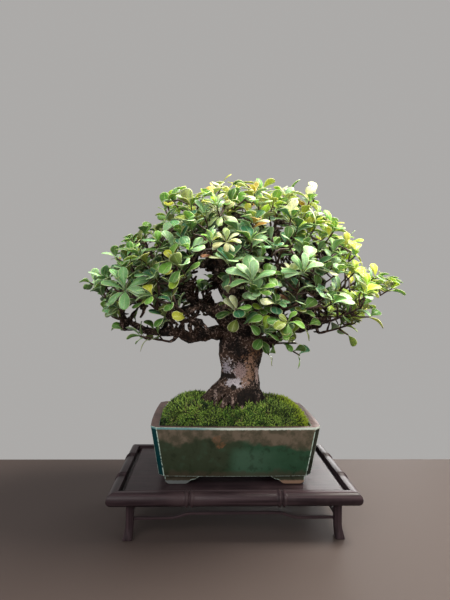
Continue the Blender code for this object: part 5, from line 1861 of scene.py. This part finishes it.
# %% The trunk, drawn upwards from a circle
def draw_trunk(name):
    """A circle is extruded up level by level, and every ring is then shaped by the trunk's own rule."""
    bpy.ops.mesh.primitive_circle_add(vertices=RING_POINTS, radius=20.0 * MM, fill_type="NGON",
                                      location=(0.0, 0.0, RING_LEVELS[0] * MM))
    trunk = named(name)
    edit(trunk)
    for low, high in zip(RING_LEVELS, RING_LEVELS[1:]):
        extrude(0.0, 0.0, (high - low) * MM)
    leave_edit()
    for vert in trunk.data.vertices:
        up = vert.co.z
        angle = math.atan2(vert.co.y, vert.co.x)
        centre_x, half_x, half_y = section_at(max(up / MM, TRUNK_SECTIONS[0][0]))
        radius = trunk_radius(angle, max(up, ROOT_LEVEL), half_x, half_y)
        if up < HOLE_TOP:
            radius -= HOLE_GAP
        vert.co = (centre_x + radius * math.cos(angle), TRUNK_Y + radius * math.sin(angle), up)
    outward(trunk)
    return trunk


# Heading in degrees, reach from the trunk's axis and thickness in mm
SURFACE_ROOTS = [(168.0, 40.0, 4.4), (186.0, 43.0, 4.6), (204.0, 41.0, 4.2), (221.0, 39.0, 3.6), (237.0, 37.0, 3.4),
                 (253.0, 33.0, 3.0), (270.0, 28.0, 2.4), (312.0, 26.0, 3.0), (352.0, 27.0, 3.4), (32.0, 31.0, 3.6),
                 (72.0, 32.0, 3.4), (112.0, 34.0, 3.8), (146.0, 37.0, 4.0)]
# A root's way: share of its reach, height in mm and share of its thickness
ROOT_WAY = [(0.44, 139.0, 1.15), (0.62, 131.0, 1.1), (0.80, 124.5, 1.0), (0.97, 118.5, 0.75), (1.12, 111.0, 0.45)]


def surface_root(rng, heading, reach, thick):
    """A root that leaves the trunk's foot, runs over the moss and dives into it."""
    way = Vector((math.cos(math.radians(heading)), math.sin(math.radians(heading)), 0.0))
    side = Vector((-way.y, way.x, 0.0))
    centre = Vector((TRUNK_SECTIONS[0][1] * MM, TRUNK_Y, 0.0))
    line = [centre + way * reach * MM * share + side * rng.uniform(-1.6, 1.6) * MM + UP * (up * MM)
            for share, up, swell in ROOT_WAY]
    return line, [thick * swell * MM for share, up, swell in ROOT_WAY]


wood = draw_trunk("trunk_skin")
print("trunk's top at", round(max(v.co.z for v in wood.data.vertices), 4))

# %% Limbs melted into the trunk
WOOD_SEED = 31
wood_rng = random.Random(WOOD_SEED)
limb_routes = [gnarled(wood_rng, line, radii, 7.0 * MM, 0.8 * MM, 0.28) for line, radii in limbs]
limb_routes += [gnarled(wood_rng, *surface_root(wood_rng, *root), 4.0 * MM, 0.7 * MM, 0.25) for root in SURFACE_ROOTS]
limb_skin = wood_curves("limb_skin", limb_routes, 4)
join(wood, [limb_skin])
apply_modifier(wood, "REMESH", mode="VOXEL", voxel_size=1.0 * MM, adaptivity=0.0)
apply_modifier(wood, "SMOOTH", factor=0.5, iterations=2)
print("wood skin faces:", len(wood.data.polygons))

# %% [markdown]
# ### Bark in relief
#
# The bark is old and flaky: short upright ridges, plates that lift at their edges and knobs on the limbs. The
# relief is layered noise, stretched along the trunk. Where the bark has come off the front of the trunk, the bare
# wood lies a little deeper and smoother.

# %% Bare patches
# Centre x and height in the stand's frame, half width, half height in mm, how deep in mm
BARE_PATCHES = [(2.5, 139.5, 12.5, 5.5, 0.9), (7.0, 152.0, 6.5, 9.0, 0.7), (-8.0, 155.0, 5.0, 6.5, 0.6),
                (25.5, 148.0, 3.5, 9.0, 0.5), (16.0, 153.0, 7.5, 11.0, 0.3)]


def bareness(point):
    """How deep a point of the trunk lies in a bare patch of its front, in mm: 0 outside all patches."""
    if point.y > 2.0 * MM:
        return 0.0
    wobble = 0.35 * noise.noise(point * 260.0) + 0.2 * noise.noise(point * 700.0)
    deepest = 0.0
    for x, up, half_x, half_up, depth in BARE_PATCHES:
        off = math.hypot((point.x / MM - x) / half_x, (point.z / MM - up) / half_up)
        deepest = max(deepest, clamped((1.0 + wobble - off) * 4.0) * depth)
    return deepest


def bark_relief(point):
    """Height of the bark at a point, in metres."""
    upright = Vector((point.x * 420.0, point.y * 420.0, point.z * 130.0))
    ridges = 1.0 - abs(noise.noise(upright))
    flakes = noise.noise(point * 520.0)
    knobs = max(0.0, noise.noise(point * 95.0 + Vector((3.0, 0.0, 0.0)))) ** 2
    fine = noise.noise(point * 1300.0)
    return (0.9 * (ridges - 0.75) + 0.45 * flakes + 1.8 * knobs + 0.16 * fine) * MM


BARK_FOOT = 112.0 * MM
TRUNK_MIDDLE = Vector((0.009, 0.0, 0.16))
TRUNK_REACH = 60.0 * MM
LIMB_RELIEF = 0.55


def bark_step(point, normal):
    """The bark's relief along the normal, weaker on the limbs and nearly gone where the wood is bare."""
    if point.z < BARK_FOOT:
        return Vector()
    bare = bareness(point)
    height = (LIMB_RELIEF if (point - TRUNK_MIDDLE).length > TRUNK_REACH else 1.0) * bark_relief(point)
    if bare > 0.0:
        height = height * (1.0 - 0.75 * min(1.0, bare * 1.6)) - bare * MM
    return normal * height


displace(wood, bark_step)
print("bark moved points:", len(wood.data.vertices))

# %% Thin branches with knuckles and spurs
def spurs_on(rng, line, radii, every):
    """Short blunt side spurs, where old rosettes have fallen."""
    spurs = []
    for row in beads(line, radii, every)[1:]:
        if rng.random() > 0.55:
            continue
        point = Vector(row[:3])
        way = jitter(rng, -0.4, 1.0).normalized()
        length = rng.uniform(2.5, 6.0) * MM
        bend = way + side_jitter(rng, 0.8) * 0.5
        end = point + way * (row[3] + length * 0.6)
        last = end + bend.normalized() * length * 0.5
        spurs.append(([point, end, last], [1.1 * MM, 0.9 * MM, 0.55 * MM]))
    return spurs


OLD_TWIGS = 320
OLD_TWIG_BOX = ((-130.0, 140.0), (-80.0, 60.0), (190.0, 310.0))
OLD_TWIG_LENGTHS = (9.0 * MM, 34.0 * MM)


def old_twigs(rng, tied):
    """Gnarled leafless twigs that fill the hollows of an old crown."""
    routes = []
    for trial in range(20000):
        if len(routes) == OLD_TWIGS:
            break
        tip = Vector([rng.uniform(low, high) for low, high in OLD_TWIG_BOX]) * MM
        hollow = in_hollow(seen_at(tip))
        if crown_share(tip) > 0.78 or (not hollow and rng.random() < 0.85):
            continue
        distance = distances(tied, np.array(tip))
        best = int(np.argmin(distance))
        if not OLD_TWIG_LENGTHS[0] < distance[best] < OLD_TWIG_LENGTHS[1]:
            continue
        foot = Vector(tied[best, :3])
        bend = foot.lerp(tip, 0.5) + Vector([rng.uniform(-0.2, 0.2) for i in range(3)]) * float(distance[best])
        if all(in_outline(seen_at(point)) for point in (foot.lerp(bend, 0.5), bend, bend.lerp(tip, 0.5), tip)):
            routes.append(gnarled(rng, [foot, bend, tip], [2.4 * MM, 1.9 * MM, 1.1 * MM], 3.0 * MM, 0.8 * MM, 0.7))
    return routes


old = wood_curves("old_twigs", old_twigs(wood_rng, tied_rows), 1)
print("old twig faces:", len(old.data.polygons))
thin_routes = []
for line, radii in branches:
    thin_routes.append(gnarled(wood_rng, line, radii, 4.5 * MM, 0.45 * MM, 0.42))
    thin_routes += spurs_on(wood_rng, line, radii, 6.0 * MM)
for line, radii in limbs:
    thin_routes += spurs_on(wood_rng, line, radii, 8.0 * MM)
thin = wood_curves("thin_branches", thin_routes, 2)
print("thin branch faces:", len(thin.data.polygons))

# %% One piece of wood
join(wood, [thin, old])
wood.name = "bark_covered_wood"
wood.data.name = "bark_covered_wood"
wood.data.transform(TO_STAND)
soften(wood, 60.0)
settle(wood, "barberry_bark", "trunk_and_branches")
print("wood triangles:", sum(len(p.vertices) - 2 for p in wood.data.polygons))

# %% [markdown]
# ### Bark colours
#
# The living bark is nearly black-brown, with pale curved flecks where thin plates have flaked. Low on the front
# the bark has gone and shows lilac-white, pink-grey and tan wood with dark cracks. Each bare patch is an ellipse
# whose edge is broken up by noise, made by one shared group that is placed with its own centre and size.

# %% Where the bark is bare
# Centre x and height in the stand's frame and half sizes in mm, how much dark bark is left on it, colour
PATCH_COLOURS = [((24.0, 178.0), (8.0, 14.0), 0.52, rgba(0.150, 0.075, 0.036)),
                 ((13.0, 166.0), (9.0, 5.0), 0.54, rgba(0.230, 0.120, 0.070)),
                 ((-7.0, 163.0), (5.5, 5.5), 0.54, rgba(0.520, 0.470, 0.490)),
                 ((-2.0, 152.0), (6.0, 8.0), 0.54, rgba(0.520, 0.470, 0.490)),
                 ((16.5, 154.0), (8.5, 12.5), 0.45, rgba(0.340, 0.200, 0.135)),
                 ((7.0, 152.5), (6.5, 9.0), 0.40, rgba(0.370, 0.265, 0.255)),
                 ((-8.5, 154.5), (4.6, 6.5), 0.39, rgba(0.500, 0.450, 0.510)),
                 ((21.0, 151.0), (2.5, 9.0), 0.56, rgba(0.120, 0.062, 0.036)),
                 ((25.5, 148.0), (2.6, 9.5), 0.36, rgba(0.520, 0.380, 0.350)),
                 ((-4.5, 147.0), (6.5, 2.8), 0.30, rgba(0.018, 0.011, 0.009)),
                 ((3.5, 139.8), (11.5, 4.6), 0.33, rgba(0.600, 0.550, 0.590)),
                 ((-0.5, 135.8), (3.0, 2.6), 0.25, rgba(0.018, 0.011, 0.009)),
                 ((12.0, 141.5), (5.0, 5.0), 0.42, rgba(0.380, 0.240, 0.180)),
                 ((7.0, 139.5), (1.3, 1.3), 0.0, rgba(0.010, 0.006, 0.006)),
                 ((13.0, 125.0), (14.0, 8.5), 0.40, rgba(0.011, 0.007, 0.006)),
                 ((-21.0, 125.0), (13.0, 9.0), 0.50, rgba(0.100, 0.066, 0.050)),
                 ((-19.0, 127.0), (1.7, 7.0), 0.46, rgba(0.340, 0.250, 0.220)),
                 ((-12.0, 123.0), (1.5, 6.0), 0.42, rgba(0.340, 0.250, 0.220)),
                 ((-2.0, 123.5), (1.5, 6.0), 0.42, rgba(0.380, 0.270, 0.230))]
BARK_DEEP = rgba(0.007, 0.0045, 0.004)
BARK_BROWN = rgba(0.056, 0.032, 0.022)
BARK_STREAK = rgba(0.030, 0.016, 0.012)
BARK_FLECK = rgba(0.31, 0.22, 0.185)
PATCH_DEPTH = 16.0 * MM
PATCH_OFF = -18.0 * MM
PATCH_SHADE = 0.62
print("bare patches:", len(PATCH_COLOURS))

# %% Bark material
def make_bark():
    """Dark streaky bark, thin curved flecks along bent cell borders, then the bare patches one by one."""
    material, tree, shader = fresh_material("barberry_bark_aged")
    place = own_place(tree)
    cloud = shared(tree, "mottle", place, Size=70.0, Fine=900.0)
    streaks = shared(tree, "grain", place, Stretch=(900.0, 900.0, 260.0))["Streaks"]
    dark = mixed(tree, stepped(tree, cloud["Broad"], 0.38, 0.66), BARK_DEEP, BARK_BROWN)
    colour = mixed(tree, stepped(tree, streaks, 0.52, 0.66), dark, BARK_STREAK)
    twisted = noisy(tree, place, 190.0, 2.0)["Color"]
    bent = vector_maths(tree, "ADD", place, vector_maths(tree, "MULTIPLY", twisted, (0.006, 0.006, 0.006)))
    border = put(tree, "ShaderNodeTexVoronoi", {"Vector": bent, "Scale": 250.0},
                 feature="DISTANCE_TO_EDGE").outputs["Distance"]
    blots = noisy(tree, bent, 430.0, 3.0)["Fac"]
    broken = times(tree, stepped(tree, blots, 0.50, 0.58), stepped(tree, cloud["Broad"], 0.33, 0.52))
    colour = mixed(tree, times(tree, ranged(tree, border, 0.13, 0.05), broken), colour, BARK_FLECK)
    stained = stepped(tree, cloud["Small"], 0.38, 0.62)
    for (x, up), (half_x, half_up), left_over, tint in PATCH_COLOURS:
        mask = shared(tree, "patch", place, Centre=(STAND_CENTRE.x + x * MM, STAND_CENTRE.y + PATCH_OFF, up * MM),
                      Half_Size=(half_x * MM, PATCH_DEPTH, half_up * MM), Ragged=2.4)["Mask"]
        bare = times(tree, mask, stepped(tree, blots, left_over - 0.03, left_over + 0.03))
        colour = mixed(tree, bare, colour, mixed(tree, stained, rgba(*(PATCH_SHADE * v for v in tint[:3])), tint))
    fill(tree, shader, {"Base Color": colour, "Roughness": 0.82, "Specular IOR Level": 0.25,
                        "Normal": bumps(tree, 0.6, 0.0008, maths(tree, "ADD", cloud["Small"], streaks))})
    return material


bark = make_bark()
paint(wood, bark)
print("bark nodes:", len(bark.node_tree.nodes))

# %% [markdown]
# ## Leaves
#
# A barberry leaf is a small thin paddle: a narrow foot, widest past the middle, a round tip, a pale rib and a
# pale thin margin. One is modelled from a grid of two by seven cells whose rows are set to the leaf's width, and
# Solidify gives it its thickness. Five bent versions (flat, cupped, folded, waved and curled back) stop the crown
# from looking stamped. Every leaf is a copy with its own place, turn, size and tint.

# %% One leaf
# Rows along the leaf: share of the length, half width as a share of the full width
LEAF_ROWS = [(0.0, 0.045), (0.17, 0.055), (0.33, 0.20), (0.50, 0.37), (0.68, 0.49), (0.84, 0.47), (0.95, 0.31),
             (1.0, 0.09)]
LEAF_THICKNESS = 0.35 * MM
# Bends: how far the edges lift, the tip drops and the edge waves, as shares of the length
LEAF_BENDS = [(0.02, 0.07, 0.0), (0.10, 0.06, 0.0), (0.15, -0.02, 0.01), (0.03, 0.05, 0.03), (-0.03, 0.20, 0.01)]


def one_leaf(name, lift, drop, wave):
    """A unit leaf along +X, face up, foot at the origin, one unit long and one unit wide."""
    bpy.ops.mesh.primitive_grid_add(x_subdivisions=7, y_subdivisions=2, size=1.0)
    leaf = named(name)
    columns = sorted({round(v.co.x, 5) for v in leaf.data.vertices})
    for vert in leaf.data.vertices:
        row = columns.index(round(vert.co.x, 5))
        along, half = LEAF_ROWS[row]
        side = round(vert.co.y * 2.0)
        arch = LEAF_ARCH / LEAF_LENGTH * math.sin(math.pi * min(1.0, along * 1.05)) - drop * along ** 3
        edge = abs(side) * (lift * math.sin(math.pi * along) + wave * math.sin(9.0 * along + 2.0 * side))
        vert.co = (along, side * half, arch + edge)
    apply_modifier(leaf, "SOLIDIFY", thickness=LEAF_THICKNESS / LEAF_LENGTH, offset=0.0)
    return leaf


leaf_models = [one_leaf(f"leaf_model_{i}", *bend) for i, bend in enumerate(LEAF_BENDS)]
print("faces in a leaf:", len(leaf_models[0].data.polygons))

# %% What a copy needs from its model
def leaf_numbers(model):
    """Points, faces, each corner's place on the blade (0 to 1 both ways) and which points lie on the underside."""
    mesh = model.data
    points = point_rows(model)
    faces = [tuple(face.vertices) for face in mesh.polygons]
    corners = np.array([loop.vertex_index for loop in mesh.loops])
    half = np.interp(points[:, 0], *zip(*LEAF_ROWS))
    across = 0.5 + 0.5 * np.clip(points[:, 1] / half, -1.0, 1.0)
    blade = np.stack([across, np.clip(points[:, 0], 0.0, 1.0)], axis=1)[corners]
    return points, faces, blade, np.array([vert.normal.z < 0.0 for vert in mesh.vertices])


leaf_kinds = [leaf_numbers(model) for model in leaf_models]
remove(*leaf_models)
print("leaf points:", len(leaf_kinds[0][0]))

# %% [markdown]
# ### Tints
#
# The crown is far from one green. Old leaves inside are mid green and olive, and leaves are painted darker towards
# the heart of the crown as painted shade. The far left and the middle turn blue-green, the top is cream and yellow as
# painted sunlight coming through, the right edge is lime and yellow, partly leaf colour and partly painted backlight,
# and a few leaves are orange or salmon, as barberries colour. A leaf's tint is drawn from the mix of the region that
# it grows in.

# %% Choosing a tint
MID_GREEN = (0.100, 0.270, 0.042)
FRESH_GREEN = (0.190, 0.440, 0.060)
BLUE_GREEN = (0.130, 0.360, 0.140)
TEAL_GREEN = (0.040, 0.225, 0.105)
PALE_BLUE_GREEN = (0.400, 0.700, 0.340)
# A sunlit cream: painted sunlight.
SUNLIT_CREAM = (0.760, 0.820, 0.480)
LIME = (0.420, 0.660, 0.030)
YELLOW_GREEN = (0.580, 0.600, 0.045)
OLIVE = (0.200, 0.260, 0.032)
ORANGE = (0.831, 0.402, 0.065)
SALMON = (0.752, 0.305, 0.188)
GOLD = (0.800, 0.560, 0.110)
# Leaves narrower than this share of their length belong to the large rosettes, which have their own tints low and
# high in the crown; the high ones are cream and yellow, as painted sunlight. Single leaves that show up in the frame
# are marked by the spot where they are seen.
NARROWEST = 0.47
LARGE_TINTS = (PALE_BLUE_GREEN, PALE_BLUE_GREEN, (0.260, 0.560, 0.210))
SUNLIT_HIGH_TINTS = (SUNLIT_CREAM, (0.480, 0.660, 0.260), (0.640, 0.640, 0.300))
HIGH_SPOT = 255
MARKED_LEAVES = [((256, 222), ORANGE), ((214, 187), GOLD), ((252, 185), GOLD)]
MARK_REACH = 4.5
# For each region: the tints and how often each comes
# In the top mix, cream and yellow are painted sunlight; in the right mix, lime and yellow are partly leaf colour and
# partly painted backlight.
TINT_MIXES = {
    "left": [(MID_GREEN, 4), (FRESH_GREEN, 2.5), (OLIVE, 3), (BLUE_GREEN, 2), (PALE_BLUE_GREEN, 1.5), (TEAL_GREEN, 1),
             (YELLOW_GREEN, 0.6), (LIME, 0.6), (SALMON, 0.1)],
    "far_left": [(BLUE_GREEN, 4), (PALE_BLUE_GREEN, 3), (FRESH_GREEN, 2), (MID_GREEN, 1)],
    "top": [(SUNLIT_CREAM, 4), (YELLOW_GREEN, 3), (PALE_BLUE_GREEN, 3), (LIME, 2), (FRESH_GREEN, 2), (MID_GREEN, 1),
            (ORANGE, 0.4)],
    "right": [(LIME, 4), (YELLOW_GREEN, 3), (FRESH_GREEN, 2), (PALE_BLUE_GREEN, 2), (SUNLIT_CREAM, 1), (MID_GREEN, 1)],
    "middle": [(PALE_BLUE_GREEN, 5), (BLUE_GREEN, 3), (FRESH_GREEN, 3), (MID_GREEN, 2), (TEAL_GREEN, 2), (SUNLIT_CREAM, 1),
               (YELLOW_GREEN, 0.5), (SALMON, 0.25)],
    "low": [(OLIVE, 3), (FRESH_GREEN, 3), (MID_GREEN, 3), (LIME, 1.5), (TEAL_GREEN, 1), (BLUE_GREEN, 1)],
}


def region(point):
    """The part of the crown that a leaf grows in."""
    x, up = point.x / MM, point.z / MM
    if x < -125.0:
        return "far_left"
    if up > 315.0:
        return "top"
    if x > 105.0 or (x > 60.0 and up > 290.0):
        return "right"
    if x < -55.0:
        return "left"
    if up < 225.0:
        return "low"
    return "middle"


def leaf_tint(rng, point):
    """A tint from the region's mix, with a random spread and painted shade that deepens towards the heart of the
    crown.
    """
    tints, weights = zip(*TINT_MIXES[region(point)])
    tint = rng.choices(tints, weights)[0]
    # Painted shade: the tint darkens towards the heart of the crown.
    light = rng.uniform(0.75, 1.22) * (0.30 + 0.70 * min(1.0, crown_share(point)) ** 1.7)
    return tuple(min(0.9, value * light) for value in tint)


def shown_tint(rng, root, direction, length, width):
    """A leaf's tint by its region, or its own where it is marked or belongs to a large rosette."""
    tint = leaf_tint(rng, root + direction * length)
    spot = seen_at(root + direction * length * 0.6)
    for (x, y), marked in MARKED_LEAVES:
        if root.y < 0.0 and math.hypot(spot[0] - x, spot[1] - y) < MARK_REACH:
            tint = marked
    if width < NARROWEST * length:
        light = rng.uniform(0.72, 0.95)
        tint = tuple(value * light for value in rng.choice(SUNLIT_HIGH_TINTS if spot[1] < HIGH_SPOT else LARGE_TINTS))
    return tint


print("tint mixes:", sorted(TINT_MIXES))

# %% Joining copies into one spray
LEAF_SEED = 41
STICK_TINT = (0.04, 0.018, 0.012, 1.0)
UNDERSIDE_SHARE = 0.72
UNDERSIDE_ADDED = (0.075, 0.10, 0.07)
leaf_rng = random.Random(LEAF_SEED)


def leafy_mesh(name, leaves, sticks):
    """All leaves of a spray and its sticks as one mesh, with blade coordinates and a tint on every leaf."""
    base = wood_curves(name, sticks, 1)
    faces = [tuple(face.vertices) for face in base.data.polygons]
    points = [point_rows(base)]
    remove(base)
    stick_faces = len(faces)
    blade = [np.full((sum(len(face) for face in faces), 2), 0.5)]
    offset = len(points[0])
    tints = [np.tile(STICK_TINT, (offset, 1))]
    for (root, direction, face), length, width in leaves:
        kind_points, kind_faces, kind_blade, under = leaf_rng.choice(leaf_kinds)
        axes = np.array([direction * length, -direction.cross(face) * width, face * length])
        rows = np.tile((*shown_tint(leaf_rng, root, direction, length, width), 1.0), (len(kind_points), 1))
        rows[under, :3] = rows[under, :3] * UNDERSIDE_SHARE + np.array(UNDERSIDE_ADDED)
        points.append(kind_points @ axes + np.array(root))
        faces += [tuple(index + offset for index in kind) for kind in kind_faces]
        blade.append(kind_blade)
        tints.append(rows)
        offset += len(kind_points)
    mesh = bpy.data.meshes.new(name)
    mesh.from_pydata(np.concatenate(points).tolist(), [], faces)
    mesh.uv_layers.new(name="blade").data.foreach_set("uv", np.concatenate(blade).ravel())
    tint_layer = mesh.color_attributes.new("tint", "FLOAT_COLOR", "POINT")
    tint_layer.data.foreach_set("color", np.concatenate(tints).ravel())
    is_leaf = np.arange(len(mesh.polygons)) >= stick_faces
    return mesh, is_leaf.astype(np.int32)


# %% Leaf and twig materials
LEAF_BLEMISH = rgba(0.03, 0.06, 0.015)
LEAF_VEIN = rgba(0.62, 0.66, 0.40)
LEAF_MARGIN = rgba(0.80, 0.84, 0.52)
TWIG_DARK = rgba(0.018, 0.008, 0.006)
TWIG_RED = rgba(0.075, 0.032, 0.020)


def make_leaf_material():
    """A rib and side veins along the blade, a pale margin, small blemishes, and light coming through."""
    material, tree, shader = fresh_material("barberry_leaf")
    tint = attribute(tree, "tint")["Color"]
    blade = parts_of(tree, put(tree, "ShaderNodeUVMap", uv_map="blade").outputs["UV"])
    side = maths(tree, "ABSOLUTE", maths(tree, "SUBTRACT", blade["X"], 0.5))
    rib = ranged(tree, side, 0.055, 0.015)
    slanted = maths(tree, "ADD", blade["Y"], times(tree, side, -1.1))
    vein = stepped(tree, maths(tree, "SINE", times(tree, slanted, 50.0)), 0.82, 1.0)
    small = shared(tree, "mottle", own_place(tree), Size=160.0, Fine=900.0)["Small"]
    colour = mixed(tree, stepped(tree, small, 0.40, 0.72), mixed(tree, 0.30, tint, LEAF_BLEMISH), tint)
    pale = mixed(tree, 0.45, tint, LEAF_VEIN)
    for share, shown in ((times(tree, vein, 0.30), pale), (times(tree, rib, 0.6), pale),
                         (times(tree, stepped(tree, side, 0.41, 0.48), 0.8), mixed(tree, 0.6, tint, LEAF_MARGIN))):
        colour = mixed(tree, share, colour, shown)
    fill(tree, shader, {"Base Color": colour, "Normal": bumps(tree, 0.35, 0.0003, maths(tree, "ADD", vein, rib)),
                        "Roughness": 0.42, "Specular IOR Level": 0.35, "Subsurface Weight": 0.35,
                        "Subsurface Radius": (1.0, 1.0, 0.35), "Subsurface Scale": 0.0012})
    return material


def make_twig_bark():
    material, tree, shader = fresh_material("red_brown_twig")
    cloud = shared(tree, "mottle", own_place(tree), Size=300.0, Fine=1400.0)
    fill(tree, shader, {"Base Color": mixed(tree, stepped(tree, cloud["Broad"], 0.35, 0.65), TWIG_DARK, TWIG_RED),
                        "Normal": bumps(tree, 0.4, 0.0003, cloud["Small"]), "Roughness": 0.6})
    return material


leaf_material = make_leaf_material()
twig_bark = make_twig_bark()
print("leaf material nodes:", len(leaf_material.node_tree.nodes))

# %% Every spray, and the shoots on the limbs
def add_leafy(name, leaves, sticks, slot, *nodes):
    """A leafy piece in its place, with its finishes and what it stands for."""
    mesh, finish = leafy_mesh(name, leaves, sticks)
    mesh.materials.append(twig_bark)
    mesh.materials.append(leaf_material)
    mesh.polygons.foreach_set("material_index", finish)
    mesh.transform(TO_STAND)
    mesh.shade_smooth()
    settle(add_object(name, mesh), slot, *nodes)


def shoots_of(owner):
    """The leaves and the kinked sticks of all shoots that leave one spray's wood, or the limbs (owner -1)."""
    own = [shoot for shoot in shoots if shoot[0] == owner]
    sticks = [gnarled(leaf_rng, points, radii, 4.0 * MM, 0.3 * MM, 0.5) for number, points, radii, grown in own]
    return [leaf for shoot in own for leaf in shoot[3]], sticks


def leaf_slot(spray):
    """A spray's finish: plain green on the left, yellow at the top and the right end, blue in the middle."""
    end = spray["twig"][0][2]
    if end.x < -50.0 * MM:
        return "leaf_green"
    if end.z > 300.0 * MM or end.x > 80.0 * MM:
        return "leaf_yellow_green"
    return "leaf_blue_green"


for number, spray in enumerate(sprays):
    sticks = [gnarled(leaf_rng, *stick, 4.0 * MM, 0.15 * MM, 0.35) for stick in sticks_of(spray)]
    own_leaves, own_sticks = shoots_of(number)
    add_leafy(f"leafy_spray_{number + 1:02d}", spray["leaves"] + own_leaves, sticks + own_sticks, leaf_slot(spray),
              f"spray_{number + 1:02d}")
inner_leaves, inner_sticks = shoots_of(-1)
add_leafy("inner_rosettes", inner_leaves, inner_sticks, "leaf_green")
print("inner rosettes:", len(inner_sticks))

# %% [markdown]
# ## Floor

# %% Floor
# The floor ends a little behind the object, as the table in the photo does
FLOOR_BACK = 0.150
FLOOR_SIZE = 9.0
FLOOR_DROP = 0.0002
bpy.ops.mesh.primitive_plane_add(size=FLOOR_SIZE, location=(0.0, FLOOR_BACK - FLOOR_SIZE / 2.0, -FLOOR_DROP))
floor = named("floor")
floor_paint, tree, shader = fresh_material("dark_floor")
fill(tree, shader, {"Base Color": rgba(0.050, 0.034, 0.030), "Roughness": 0.7})
paint(floor, floor_paint)
